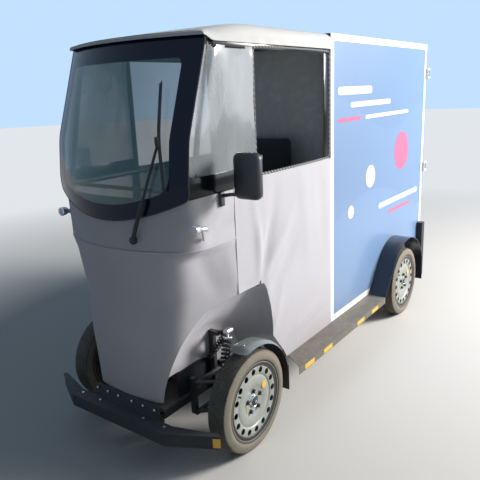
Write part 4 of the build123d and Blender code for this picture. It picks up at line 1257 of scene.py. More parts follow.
# Wheels
class CARGOBIKE_OT_tyres(Operator):
    """Make the four tyres with their tread blocks and wall rings."""

    bl_idname = "cargobike.tyres"
    bl_label = "Tyres"

    def execute(self, context):
        wheel = context.scene.cargo_wheel
        depth = wheel.tread_depth
        crown = TYRE_RADIUS - depth
        shoulder = crown - 0.006
        bead_x, bead_radius = 0.0477, 0.1905
        flange = 0.206
        bulge = (TYRE_RADIUS + bead_radius) / 2
        tread_half = TYRE_HALF - 0.009
        half_loop = (
            # along, radius, from the bead out to the middle of the tread
            (bead_x, bead_radius), (bead_x, flange - 0.002), (bead_x + 0.003, flange + 0.001),
            (TYRE_HALF - 0.0045, flange + 0.008), (TYRE_HALF - 0.0035, flange + 0.010),
            (TYRE_HALF - 0.001, bulge - 0.006), (TYRE_HALF, bulge),
            (TYRE_HALF - 0.001, bulge + 0.008), (TYRE_HALF - 0.0035, bulge + 0.016),
            (TYRE_HALF - 0.0045, shoulder - 0.012), (tread_half, shoulder), (tread_half * 0.80, crown - 0.0035),
            (tread_half * 0.60, crown - 0.0018), (tread_half * 0.40, crown - 0.0007), (tread_half * 0.14, crown),
        )
        loop = list(half_loop) + [(-x, radius) for x, radius in reversed(half_loop)]
        inner = ((-bead_x + 0.010, bead_radius), (-TYRE_HALF + 0.012, bulge), (0.0, crown - 0.012),
                 (TYRE_HALF - 0.012, bulge), (bead_x - 0.010, bead_radius))
        first = turned("tyre_rubber_front_left", loop + list(inner), WHEEL_CENTRES["front_left"], wheel.tread_steps)
        centre = WHEEL_CENTRES["front_left"]

        def is_tread(face):
            arm = Vector((0, face.center.y - centre.y, face.center.z - centre.z))
            return arm.length > shoulder - 0.002 and abs(face.center.x - centre.x) < tread_half and \
                face.normal.dot(arm) > 0

        chosen_faces(first, is_tread)
        bpy.ops.mesh.inset(thickness=0.0016, depth=depth, use_individual=True)
        bpy.ops.object.mode_set(mode="OBJECT")
        smoothed(first, 30)
        for corner in CORNERS:
            piece = first
            if corner != "front_left":
                shift = Matrix.Translation(WHEEL_CENTRES[corner] - centre)
                piece = copied(first, f"tyre_rubber_{corner}", shift)
            settled(piece, f"wheel_{corner}", "tyre_rubber", f"tyre_{corner}", replaces=(f"tyre_{corner}",))
        return {"FINISHED"}


HALF_RIM = 0.052
HUB_FACE = 0.038
VENT_COUNT = 16
VENT_RADIUS = 0.0165
VENT_CIRCLE = 0.163
BARREL_LOOP = (
    # distance out from the wheel's middle, radius
    (0.0492, 0.1862), (0.0495, 0.2010), (0.0518, 0.2022), (0.0526, 0.2045), (0.0522, 0.2070), (0.0505, 0.2078),
    (0.0480, 0.2068), (0.0480, 0.1900), (-0.0480, 0.1900), (-0.0480, 0.2060), (-HALF_RIM, 0.2060),
    (-HALF_RIM, 0.1860), (0.0480, 0.1860),
)
DISC_LOOP = (
    (0.031, 0.1862), (0.043, 0.1845), (0.0458, 0.1815), (0.0460, 0.1780), (0.0460, 0.1455), (0.0445, 0.1425),
    (0.0400, 0.1365), (0.0425, 0.1300), (0.0440, 0.1220), (0.0440, 0.1050), (0.0430, 0.0900), (0.0400, 0.0790),
    (HUB_FACE, 0.0740), (HUB_FACE, 0.0), (0.034, 0.0), (0.034, 0.076), (0.0385, 0.092), (0.040, 0.119),
    (0.036, 0.138), (0.042, 0.1448), (0.042, 0.1805), (0.025, 0.1862),
)
# hub profile; its fin at 0.010 to 0.013 out to radius 0.178 is a screen behind the vents, painted near black as
# painted shade
HUB_LOOP = (
    (0.034, 0.042), (0.013, 0.042), (0.013, 0.178), (0.010, 0.178), (0.010, 0.042), (-0.009, 0.042),
    (-0.009, 0.092), (-0.013, 0.092), (-0.013, 0.042), (-0.019, 0.042), (-0.019, 0.01205), (0.034, 0.01205),
)
CAP_LOOP = (
    (HUB_FACE - 0.001, 0.0), (HUB_FACE - 0.001, 0.0245), (0.0480, 0.0225), (0.0500, 0.0190), (0.0502, 0.0)
)
RING_LOOP = (
    (HUB_FACE - 0.001, 0.0255), (0.0450, 0.0262), (0.0468, 0.0280), (0.0455, 0.0305), (HUB_FACE - 0.001, 0.0335)
)


class CARGOBIKE_OT_rims(Operator):
    """Make the pressed steel wheels: barrel, disc with its ring of vents, hub, brake disc and a screen behind the
    vents that is painted shade.
    """

    bl_idname = "cargobike.rims"
    bl_label = "Pressed wheels"

    def execute(self, context):
        centre = WHEEL_CENTRES["front_left"]
        disc = turned("disc", DISC_LOOP, centre, 128)
        cutters = []
        for i in range(VENT_COUNT):
            angle = 2 * math.pi * (i / VENT_COUNT + 1 / 256)
            arm = Vector((0, VENT_CIRCLE * math.cos(angle), VENT_CIRCLE * math.sin(angle)))
            cutters.append(rod(f"vent_{i}", centre + arm + Vector((0.02, 0, 0)), centre + arm + Vector((0.06, 0, 0)),
                               VENT_RADIUS, 32))
        cutter = joined("vents", cutters)
        modified(disc, "BOOLEAN", object=cutter, operation="DIFFERENCE", solver="EXACT")
        take_up(cutter)
        bpy.ops.object.delete()
        first = joined("rim_pressed_front_left", [
            disc, turned("barrel", BARREL_LOOP, centre, 96), turned("hub", HUB_LOOP, centre, 64),
        ])
        smoothed(first, 32)
        for corner in CORNERS:
            piece = first
            if corner != "front_left":
                middle = WHEEL_CENTRES[corner]
                turn = Matrix.Identity(4) if "left" in corner else Matrix.Rotation(math.pi, 4, "Z")
                matrix = Matrix.Translation(middle) @ turn @ Matrix.Translation(-centre)
                piece = copied(first, f"rim_pressed_{corner}", matrix)
            settled(piece, f"wheel_{corner}", "wheel_steel", f"rim_{corner}", replaces=(f"rim_{corner}",))
        return {"FINISHED"}


class CARGOBIKE_OT_wheel_details(Operator):
    """Make the bolts, centre caps, valves and blank stickers of the wheels."""

    bl_idname = "cargobike.wheel_details"
    bl_label = "Wheel details"

    def execute(self, context):
        wheel = context.scene.cargo_wheel
        for corner in CORNERS:
            centre = WHEEL_CENTRES[corner]
            sign = 1 if "left" in corner else -1

            def out(along, radius=0.0, angle=0.0):
                return centre + Vector((sign * along, radius * math.cos(angle), radius * math.sin(angle)))

            def loop(points):
                return [(sign * along, radius) for along, radius in points]

            body = f"wheel_{corner}"
            bright = [turned("cap_ring", loop(RING_LOOP), centre, 40),
                      rod("hub_nut", out(0.049), out(0.0535), 0.0085, 6, 0.001)]
            dark = [turned("cap", loop(CAP_LOOP), centre, 40)]
            for i in range(wheel.bolt_count):
                angle = 2 * math.pi * i / wheel.bolt_count + 0.35

                def bolt_rod(name, low, high, radius, sides):
                    return rod(f"{name}_{i}", out(low, wheel.bolt_circle, angle), out(high, wheel.bolt_circle, angle),
                               radius, sides, 0.001)

                dark += [bolt_rod("bolt_seat", HUB_FACE - 0.002, HUB_FACE + 0.003, 0.0125, 20),
                         bolt_rod("bolt_head", HUB_FACE, HUB_FACE + 0.015, 0.0098, 6)]
                bright.append(bolt_rod("bolt_tip", HUB_FACE + 0.013, HUB_FACE + 0.0185, 0.0062, 16))
            settled(smoothed(joined(f"wheel_bolt_tips_{corner}", bright), 35), body, "bright_alloy", "chrome")
            settled(smoothed(joined(f"wheel_bolts_{corner}", dark), 35), body, "wheel_steel", "cast_steel")
            strip = block("strip", (-0.0011, -0.0022, -0.016), (0.0011, 0.0022, 0.016), 0.0005, 1)
            strip.data.transform(Matrix.Translation(out(HUB_FACE + 0.0008, 0.068, 3.45)))
            sticker = joined(f"wheel_sticker_{corner}", [
                rod("disc", out(0.0430, 0.104, 0.55), out(0.0449, 0.104, 0.55), 0.0195, 32), strip,
            ])
            settled(smoothed(sticker), body, "black_trim", "reflector")
            valve = rod(f"valve_{corner}", out(0.040, 0.163, 2.5525), out(0.060, 0.160, 2.5525), 0.0042, 12, 0.001)
            settled(smoothed(valve), body, "black_trim", "rubber")
        return {"FINISHED"}


GUARD_RADIUS = 0.318
GUARD_HALF = 0.060
GUARD_SHIFT = 0.007
GUARD_START = math.radians(107)
GUARD_END = math.radians(6)
GUARD_CORNER = 0.042
FLAP_LOW_Z = 0.190
GUARD_STAYS = (
    # angle of the tip, then root and elbow as (behind the axle, above the axle)
    (math.radians(34), (0.0316, 0.006), (0.120, 0.069)),
    (math.radians(78), (0.008, 0.0306), (0.030, 0.149)),
)


class CARGOBIKE_OT_front_mudguards(Operator):
    """Make the front mudguards: crowned shells with rounded noses, linings, flaps and stays."""

    bl_idname = "cargobike.front_mudguards"
    bl_label = "Front mudguards"

    def execute(self, context):
        centre = WHEEL_CENTRES["front_left"]

        def shell(name, depth, thickness):
            def place(u, v):
                angle = GUARD_START + (GUARD_END - GUARD_START) * v
                arc = GUARD_RADIUS * (GUARD_START - angle)
                half = GUARD_HALF - depth
                if arc < GUARD_CORNER:
                    half += math.sqrt(GUARD_CORNER ** 2 - (GUARD_CORNER - arc) ** 2) - GUARD_CORNER
                side = 2 * u - 1
                drop = 0.016 * abs(side * half / GUARD_HALF) ** 3.2 + 0.010 * (1 - smooth_step(arc, 0.0, 0.05))
                radius = GUARD_RADIUS - depth - drop
                return Vector((centre.x + GUARD_SHIFT + side * half, centre.y + radius * math.cos(angle),
                               centre.z + radius * math.sin(angle)))

            piece = sheet_grid(name, 20, 64, place)
            faced(piece, Vector((0, 0.4, 1)))
            return thickened(piece, thickness)

        outer = shell("mudguard_shell_left", 0.0, 0.0018)
        inner = shell("lining", 0.0022, 0.0010)
        y = centre.y + GUARD_RADIUS - 0.008
        flap = block("flap", (centre.x + GUARD_SHIFT - 0.056, y - 0.004, FLAP_LOW_Z),
                     (centre.x + GUARD_SHIFT + 0.056, y, centre.z + 0.068), 0.0015)
        stays = []
        stay_x = centre.x - TYRE_HALF - 0.009
        for i, (angle, root, elbow) in enumerate(GUARD_STAYS):
            reach = GUARD_RADIUS - 0.024
            tip = Vector((stay_x, centre.y + reach * math.cos(angle), centre.z + reach * math.sin(angle)))
            points = [Vector((centre.x - 0.037, centre.y + root[0], centre.z + root[1])),
                      Vector((stay_x, centre.y + elbow[0], centre.z + elbow[1])), tip,
                      tip + Vector((0.015, 0, 0))]
            stays += [rod(f"stay_{i}_{k}", a, b, 0.004, 12) for k, (a, b) in enumerate(zip(points, points[1:]))]
        lining = joined("mudguard_lining_left", [inner, flap] + stays)
        spot = Vector((centre.x + 0.015, centre.y - 0.035, centre.z + 0.3158))
        screw = rod("mudguard_screw_left", spot, spot + Vector((0, -0.0006, 0.0055)), 0.0065, 16, 0.0015)
        for piece, material in ((outer, "guard_plastic"), (lining, "guard_inside"), (screw, "chrome")):
            smoothed(piece, 45)
            other = mirrored_copy(piece, piece.name.replace("left", "right"))
            for part, side in ((piece, "left"), (other, "right")):
                replaced = (f"front_mudguard_{side}",) if material == "guard_plastic" else ()
                settled(part, f"steer_{side}", "black_trim", material, replaces=replaced)
        return {"FINISHED"}


# Running gear
SHOCK_HEAD = (0.360, 0.047, 0.598)
SHOCK_LEGS = (
    # name, foot (across, station, height), coil radius, wire radius, turns, coil's start and end, damper radius
    ("outer", (0.3403, -0.030, 0.2053), 0.0215, 0.0050, 9, 0.40, 0.90, 0.0140),
    ("inner", (0.2425, 0.028, 0.4300), 0.0165, 0.0036, 7, 0.14, 0.84, 0.0095),
)


class CARGOBIKE_OT_coilovers(Operator):
    """Make the pairs of coil-over dampers that stand like an inverted V over each front wheel."""

    bl_idname = "cargobike.coilovers"
    bl_label = "Coil-over dampers"

    def execute(self, context):
        head = Vector((SHOCK_HEAD[0], station(SHOCK_HEAD[1]), SHOCK_HEAD[2]))
        bright = [
            rod("head_bar", head - Vector((0, 0.026, 0)), head + Vector((0, 0.026, 0)), 0.0165, 28, 0.003),
            rod("head_washer", head - Vector((0, 0.031, 0)), head + Vector((0, 0.031, 0)), 0.0095, 6, 0.001),
        ]
        dark = [rod("head_arm", head + Vector((-0.086, 0.008, -0.036)), head, 0.011, 20)]
        for name, foot_place, coil_radius, wire, turns, low, high, damper in SHOCK_LEGS:
            foot = Vector((foot_place[0], station(foot_place[1]), foot_place[2]))
            run = head - foot
            plane = run.to_track_quat("Z", "Y").to_matrix()

            def at(share, radius=0.0, angle=0.0):
                return foot + run * share + plane @ Vector((radius * math.cos(angle), radius * math.sin(angle), 0))

            tone = bright if name == "outer" else dark
            tone += [
                rod(f"{name}_body", at(0.04), at(low + 0.16), damper, 24, 0.002),
                rod(f"{name}_rod", at(low + 0.1), at(0.97), damper * 0.55, 16),
                rod(f"{name}_top", at(high), at(high + 0.035), coil_radius + wire + 0.001, 28, 0.003),
                rod(f"{name}_seat", at(low - 0.035), at(low), coil_radius + wire + 0.001, 28, 0.003),
                rod(f"{name}_eye", foot - Vector((0, 0.014, 0)), foot + Vector((0, 0.0135, 0)), 0.013, 20, 0.002),
            ]
            per_turn = 14
            helix = [at(low + (high - low) * i / (turns * per_turn), coil_radius, 2 * math.pi * i / per_turn)
                     for i in range(turns * per_turn + 1)]
            dark.append(tube(f"{name}_coil", helix, wire, 2))
        for pieces, name, material in ((bright, "damper_left", "chrome"), (dark, "coil_left", "bumper_black")):
            piece = smoothed(joined(name, pieces), 45)
            other = mirrored_copy(piece, name.replace("left", "right"))
            replaced = ("shocks",) if material == "chrome" else ()
            settled(piece, "vehicle", "damper", material, replaces=replaced)
            settled(other, "vehicle", "damper", material)
        return {"FINISHED"}


class CARGOBIKE_OT_fasteners(Operator):
    """Make the bolts and reflectors of bumper, skirt and running boards."""

    bl_idname = "cargobike.fasteners"
    bl_label = "Fasteners and reflectors"

    def execute(self, context):
        bumper_low, bumper_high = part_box("front_bumper")
        skirt_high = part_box("nose_skirt")[1]
        bolts = []
        for x in (-0.21, -0.13, -0.05, 0.05, 0.13, 0.21):
            spot = Vector((x, skirt_high.y - 0.0125, skirt_high.z - 0.022))
            bolts.append(rod(f"skirt_bolt_{x}", spot, spot + Vector((0, -0.006, 0.001)), 0.007, 12, 0.0015))
        for x in (-0.30, -0.16, 0.16, 0.30):
            spot = Vector((x, bumper_low.y + 0.045, bumper_high.z - 0.001))
            bolts.append(rod(f"bumper_bolt_{x}", spot, spot + Vector((0, 0, 0.005)), 0.008, 12, 0.0015))
        heads = joined("front_bolts", bolts)
        settled(smoothed(heads, 35), "vehicle", "bright_alloy", "alloy")

        strips = []
        for side, sign in SIDES:
            inner = Vector((sign * 0.338, bumper_low.y, 0))
            outer = Vector((sign * 0.580, bumper_low.y + 0.125, 0))
            run = (outer - inner).normalized()
            out = Vector((run.y, -abs(run.x), 0)).normalized()
            drop_selection()
            bpy.ops.mesh.primitive_cube_add(
                size=1.0, location=inner.lerp(outer, 0.93) + out * 0.0008 + Vector((0, 0, bumper_low.z + 0.031)),
                scale=(0.036, 0.0012, 0.048), rotation=(0, 0, math.atan2(run.y, run.x)),
            )
            strips.append(modified(named(f"strip_{side}"), "BEVEL", width=0.0004, segments=1))
        board_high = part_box("running_boards")[1]
        for side, sign in SIDES:
            for distance in (0.470, 0.700, 1.180, 1.420):
                x = sign * board_high.x
                low = (min(x, x + sign * 0.001), station(distance), board_high.z - 0.040)
                high = (max(x, x + sign * 0.001), station(distance + 0.110), board_high.z - 0.012)
                strips.append(block(f"board_strip_{side}_{distance}", low, high, 0.0003, 1))
        reflectors = joined("reflectors", strips)
        settled(reflectors, "vehicle", "black_trim", "reflector")
        return {"FINISHED"}


# Small outside pieces
class CARGOBIKE_OT_mirrors(Operator):
    """Make the mirrors with their housings, glasses and jointed arms."""

    bl_idname = "cargobike.mirrors"
    bl_label = "Mirrors"

    def execute(self, context):
        low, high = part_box("mirror_left")
        head_low = Vector((high.x - 0.145, low.y, high.z - 0.214))
        drop_selection()
        size = high - head_low
        bpy.ops.mesh.primitive_cube_add(size=1.0, location=(head_low + high) / 2, scale=size)
        shell = named("mirror_shell")
        modified(shell, "BEVEL", width=0.032, segments=4, limit_method="NONE", affect="EDGES")
        rear = high.y
        chosen_faces(shell, lambda face: face.normal.y > 0.95)
        bpy.ops.mesh.inset(thickness=0.007, depth=0.0)
        bpy.ops.mesh.inset(thickness=0.001, depth=-0.005)
        bpy.ops.object.mode_set(mode="OBJECT")
        smoothed(shell, 45)
        root = Vector((CAB_HALF + 0.004, station(-0.060), low.z + 0.012))
        elbow = root + Vector((0.030, 0.0, 0.004))
        neck = Vector((head_low.x + 0.030, (low.y + high.y) / 2, head_low.z + 0.020))
        arm = [
            rod("arm_root", root, elbow, 0.009, 16, 0.002),
            tube("arm_reach", [elbow, elbow.lerp(neck, 0.35) + Vector((0, 0, 0.004)), elbow.lerp(neck, 0.7), neck],
                 0.0085, 4),
            block("arm_foot", root + Vector((-0.003, -0.017, -0.050)), root + Vector((0.012, 0.017, 0.018)), 0.007, 3),
        ]
        housing = joined("mirror_housing_left", [shell] + arm)
        smoothed(housing, 45)
        glass = block(
            "mirror_glass_left",
            (head_low.x + 0.013, rear - 0.006, head_low.z + 0.013),
            (high.x - 0.013, rear - 0.0035, high.z - 0.013),
            0.001,
        )
        for piece, material in ((housing, "black_plastic"), (glass, "chrome")):
            other = mirrored_copy(piece, piece.name.replace("left", "right"))
            for part, side in ((piece, "left"), (other, "right")):
                replaced = (f"mirror_{side}",) if material == "black_plastic" else ()
                settled(smoothed(part), "vehicle", "black_trim", material, replaces=replaced)
        return {"FINISHED"}


class CARGOBIKE_OT_turn_signals(Operator):
    """Make the round turn signals on their stems."""

    bl_idname = "cargobike.turn_signals"
    bl_label = "Turn signals"

    def execute(self, context):
        x = CAB_HALF + 0.024
        centre = Vector((x, station(-0.292), 1.226))
        shell_loop = [(0.0, 0.0), (0.0, 0.020), (0.003, 0.0235), (0.010, 0.0235), (0.030, 0.021), (0.044, 0.014),
                      (0.050, 0.0)]
        shell = turned("signal_shell", shell_loop, centre, 32, "Y")
        tail = rod("signal_tail", centre + Vector((0, 0.046, -0.004)), centre + Vector((0, 0.094, -0.012)), 0.012,
                   20, 0.003)
        stem = tube("signal_stem", [centre + Vector((0, 0.060, -0.010)), centre + Vector((-0.004, 0.070, -0.040)),
                                    Vector((CAB_HALF + 0.005, station(-0.206), 1.160))], 0.006)
        body = joined("turn_signal_left", [shell, tail, stem])
        lens_loop = [(-0.005, 0.0), (-0.004, 0.010), (-0.001, 0.0185), (0.002, 0.0195), (0.002, 0.0)]
        lens = turned("signal_lens_left", lens_loop, centre, 32, "Y")
        for piece, slot_name, material in ((body, "black_trim", "chrome"), (lens, "black_trim", "clear_lens")):
            other = mirrored_copy(piece, piece.name.replace("left", "right"))
            for part in (piece, other):
                replaced = ("turn_signals",) if part is body else ()
                settled(smoothed(part, 40), "vehicle", slot_name, material, replaces=replaced)
        return {"FINISHED"}


class CARGOBIKE_OT_wiper(Operator):
    """Make the wiper: pivot cap, arm and sprung blade."""

    bl_idname = "cargobike.wiper"
    bl_label = "Wiper"

    def execute(self, context):
        def spot(x, distance, z):
            return Vector((x, station(distance), z))

        arm_line = [spot(0.186, -0.392, 1.175), spot(0.214, -0.392, 1.245), spot(0.250, -0.384, 1.335),
                    spot(0.296, -0.362, 1.475), spot(0.336, -0.333, 1.612)]
        pieces = [
            rod("wiper_pivot", spot(0.186, -0.378, 1.172), spot(0.186, -0.402, 1.172), 0.019, 24, 0.006),
            tube("wiper_arm_low", arm_line[:3], 0.0100, 4),
            tube("wiper_arm_high", arm_line[1:], 0.0062, 3),
            block("wiper_joint", arm_line[2] - Vector((0.010, 0.008, 0.016)),
                  arm_line[2] + Vector((0.010, 0.008, 0.016)), 0.004, 3),
            tube("wiper_spine", [spot(0.355, -0.344, 1.400), spot(0.352, -0.342, 1.480), spot(0.336, -0.334, 1.612),
                                 spot(0.324, -0.300, 1.740), spot(0.312, -0.266, 1.850)], 0.0070, 3),
            tube("wiper_rubber", [spot(0.355, -0.338, 1.390), spot(0.352, -0.336, 1.480), spot(0.336, -0.327, 1.612),
                                  spot(0.324, -0.294, 1.740), spot(0.312, -0.260, 1.860)], 0.0032, 2),
            block("wiper_clip", spot(0.336, -0.345, 1.612) - Vector((0.009, 0.004, 0.020)),
                  spot(0.336, -0.345, 1.612) + Vector((0.009, 0.012, 0.020)), 0.003, 2),
        ]
        wiper = joined("wiper_assembly", pieces)
        settled(smoothed(wiper, 45), "vehicle", "black_trim", "bumper_black", replaces=("wiper",))
        return {"FINISHED"}


# Cargo box
RIVET_PITCH = 0.145
RIVET_END = 0.07
RIVET_EDGE = 0.020


def rivet_row(low, high):
    """Evenly spaced places along an edge of the box."""
    length = high - low - 2 * RIVET_END
    count = int(length / RIVET_PITCH)
    return [low + RIVET_END + length * i / count for i in range(count + 1)]


class CARGOBIKE_OT_box_trim(Operator):
    """Make the corner caps and rivets of the box."""

    bl_idname = "cargobike.box_trim"
    bl_label = "Box trim"

    def execute(self, context):
        caps = []
        reach = 0.046
        for sx in (-1, 1):
            for y in (BOX_LOW.y, BOX_HIGH.y):
                for z in (BOX_LOW.z, BOX_HIGH.z):
                    x0 = sx * (BOX_HIGH.x + 0.0012)
                    x1 = sx * (BOX_HIGH.x - reach)
                    y1 = y + (reach if y == BOX_LOW.y else -reach)
                    z0 = z + (0.0012 if z == BOX_HIGH.z else -0.0012)
                    z1 = z + (reach if z == BOX_LOW.z else -reach)
                    low = (min(x0, x1), min(y, y1), min(z0, z1))
                    high = (max(x0, x1), max(y, y1), max(z0, z1))
                    caps.append(block(f"cap_{sx}_{y}_{z}", low, high, 0.004, 3))
        settled(smoothed(joined("box_corner_caps", caps), 40), "vehicle", "box_alloy", "profile")

        first = rod("rivet", (0, 0, -0.0005), (0.0, 0.0, 0.0018), 0.0042, 10, 0.0012)
        rivets = []
        edge = RIVET_EDGE
        spots = [(y, z) for y in rivet_row(BOX_LOW.y, BOX_HIGH.y) for z in (BOX_HIGH.z - edge, BOX_LOW.z + edge)]
        spots += [(y, z) for z in rivet_row(BOX_LOW.z, BOX_HIGH.z) for y in (BOX_LOW.y + edge, BOX_HIGH.y - edge)]
        for side, sign in SIDES:
            turn = Matrix.Rotation(sign * math.pi / 2, 4, "Y")
            for y, z in spots:
                rivets.append(copied(first, "rivet_copy", Matrix.Translation((sign * BOX_HIGH.x, y, z)) @ turn))
        take_up(first)
        bpy.ops.object.delete()
        settled(smoothed(joined("box_rivets", rivets), 40), "vehicle", "box_alloy", "alloy")
        return {"FINISHED"}


def rounded_bar(name, x, y0, y1, z0, z1, thickness=0.0006):
    """A flat printed bar with fully rounded ends on the box's side."""
    radius = (z1 - z0) / 2
    low = Vector((x - thickness / 2, y0, z0))
    high = Vector((x + thickness / 2, y1, z1))
    piece = block(name, low, high)
    take_up(piece)
    bpy.ops.object.mode_set(mode="EDIT")
    bpy.ops.mesh.select_mode(type="EDGE")
    bpy.ops.mesh.select_all(action="DESELECT")
    bpy.ops.object.mode_set(mode="OBJECT")
    for edge in piece.data.edges:
        ends = [piece.data.vertices[index].co for index in edge.vertices]
        edge.select = abs(ends[0].x - ends[1].x) > thickness / 2
    bpy.ops.object.mode_set(mode="EDIT")
    bpy.ops.mesh.bevel(offset=radius * 0.998, segments=12, affect="EDGES")
    bpy.ops.object.mode_set(mode="OBJECT")
    return piece


class CARGOBIKE_OT_box_print(Operator):
    """Make the plain printed bars and discs of the box's sides, a design without words or marks."""

    bl_idname = "cargobike.box_print"
    bl_label = "Box print"

    def execute(self, context):
        side_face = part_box("box_side_wall_left")[1].x
        front = BOX_LOW.y
        bars = (
            # start and end from the box's front, height, thickness, colour
            (0.10, 0.62, 1.780, 0.050, "print_white"),
            (0.28, 0.96, 1.690, 0.034, "print_white"),
            (0.10, 0.44, 1.600, 0.026, "print_pink"),
            (0.52, 1.34, 1.600, 0.026, "print_white"),
            (0.78, 1.62, 0.930, 0.040, "print_white"),
            (0.98, 1.44, 0.850, 0.026, "print_pink"),
        )
        discs = (
            # distance from the box's front, height, radius, colour
            (1.22, 1.300, 0.150, "print_pink"),
            (0.62, 1.180, 0.080, "print_white"),
            (0.30, 0.980, 0.045, "print_white"),
        )
        for side, sign in SIDES:
            x = sign * (side_face + 0.0003)
            shapes = {"print_white": [], "print_pink": []}
            for i, (start, end, z, thick, colour) in enumerate(bars):
                shapes[colour].append(
                    rounded_bar(f"bar_{i}", x, front + start, front + end, z - thick / 2, z + thick / 2)
                )
            for i, (distance, z, radius, colour) in enumerate(discs):
                y = front + distance
                shapes[colour].append(
                    rod(f"disc_{i}", (x - 0.0003, y, z), (x + 0.0003, y, z), radius, 64)
                )
            for colour, pieces in shapes.items():
                group = joined(f"{colour}_{side}", pieces)
                settled(group, "vehicle", "box_panel_white", colour)
        return {"FINISHED"}


# Seat
def stuffed_pad(name, node, crown, cap, body, slot_name):
    """A cushion in the space of its CAD solid, plumped by a short cloth simulation."""
    low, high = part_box(node)
    inset = Vector((cap, cap, cap)) * 0.7
    pad = block(name, low + inset, high - inset, min(high - low) * 0.32, 4)
    modified(pad, "REMESH", mode="VOXEL", voxel_size=0.010)
    rest = [vertex.co.copy() for vertex in pad.data.vertices]
    take_up(pad)
    bpy.ops.object.modifier_add(type="CLOTH")
    cloth = pad.modifiers[-1]
    cloth.settings.use_pressure = True
    cloth.settings.uniform_pressure_force = crown
    cloth.settings.effector_weights.gravity = 0.0
    for step in range(1, 16):
        bpy.context.scene.frame_set(step)
    bpy.ops.object.modifier_apply(modifier=cloth.name)
    bpy.context.scene.frame_set(1)
    for vertex, start in zip(pad.data.vertices, rest):
        move = vertex.co - start
        if move.length > cap:
            vertex.co = start + move.normalized() * cap
    modified(pad, "SMOOTH", iterations=6)
    smoothed(pad, 80)
    settled(pad, body, slot_name, "seat_cover", replaces=(node,))
    return pad


class CARGOBIKE_OT_seat(Operator):
    """Make the seat cushion and the back rest."""

    bl_idname = "cargobike.seat"
    bl_label = "Seat"

    def execute(self, context):
        stuffed_pad("seat_cushion", "seat_base", 3.0, 0.012, "vehicle", "seat_vinyl")
        stuffed_pad("seat_backrest", "seat_back", 3.0, 0.010, "vehicle", "seat_vinyl")
        return {"FINISHED"}


# Finish of the CAD nodes that stay
NODE_FINISHES = {
    "cast_steel": ["knuckle_left", "knuckle_right", "pedal_generator"],
    "black_steel": ["chassis_frame", "rear_axle", "tie_rod", "wishbones",
                    "rear_bumper", "cab_frame", "seat_frame", "steering_column"],
    "bumper_black": ["front_bumper", "nose_skirt"],
    "navy_gloss": ["rear_mudguards"],
    "board_steel": ["running_boards", "cab_floor"],
    "profile": ["box_frame", "door_hinges"],
    "panel": ["box_side_wall_left", "box_side_wall_right", "rear_door_left", "rear_door_right"],
    "white_panel": ["box_roof", "box_front_wall", "box_floor"],
    "red_lens": ["rear_lamps"],
    "alloy": ["crank", "handlebar"],
}


class CARGOBIKE_OT_finishes(Operator):
    """Give the CAD pieces that stay their materials."""

    bl_idname = "cargobike.finishes"
    bl_label = "Frame finishes"

    def execute(self, context):
        for material, nodes in NODE_FINISHES.items():
            for name in nodes:
                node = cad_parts[name]
                node.data.materials.clear()
                node.data.materials.append(MATERIALS[material])
        return {"FINISHED"}


# Stage
CAMERA_PLACE = (2.0278, -3.2606, 1.8014)
CAMERA_AZIMUTH = math.radians(36.66)
CAMERA_ELEVATION = math.radians(14.93)
CAMERA_ROLL = math.radians(-2.50)


def camera_matrix():
    """Place and turn of the camera."""
    back = Vector((
        math.sin(CAMERA_AZIMUTH) * math.cos(CAMERA_ELEVATION),
        -math.cos(CAMERA_AZIMUTH) * math.cos(CAMERA_ELEVATION),
        math.sin(CAMERA_ELEVATION),
    ))
    level_right = (-back).cross(Vector((0, 0, 1))).normalized()
    level_up = level_right.cross(-back)
    right = level_right * math.cos(CAMERA_ROLL) + level_up * math.sin(CAMERA_ROLL)
    up = level_up * math.cos(CAMERA_ROLL) - level_right * math.sin(CAMERA_ROLL)
    matrix = Matrix((right, up, back)).transposed().to_4x4()
    matrix.translation = Vector(CAMERA_PLACE)
    return matrix


FILL_SHARE = 0.26


def area_light(name, place, target, size, power, **settings):
    """An area light that is turned to a target."""
    drop_selection()
    bpy.ops.object.light_add(type="AREA", location=place)
    light = bpy.context.object
    light.name = name
    for key, setting in settings.items():
        setattr(light.data, key, setting)
    light.data.size = size
    light.data.energy = power
    light.rotation_euler = (Vector(target) - light.location).to_track_quat("-Z", "Y").to_euler()


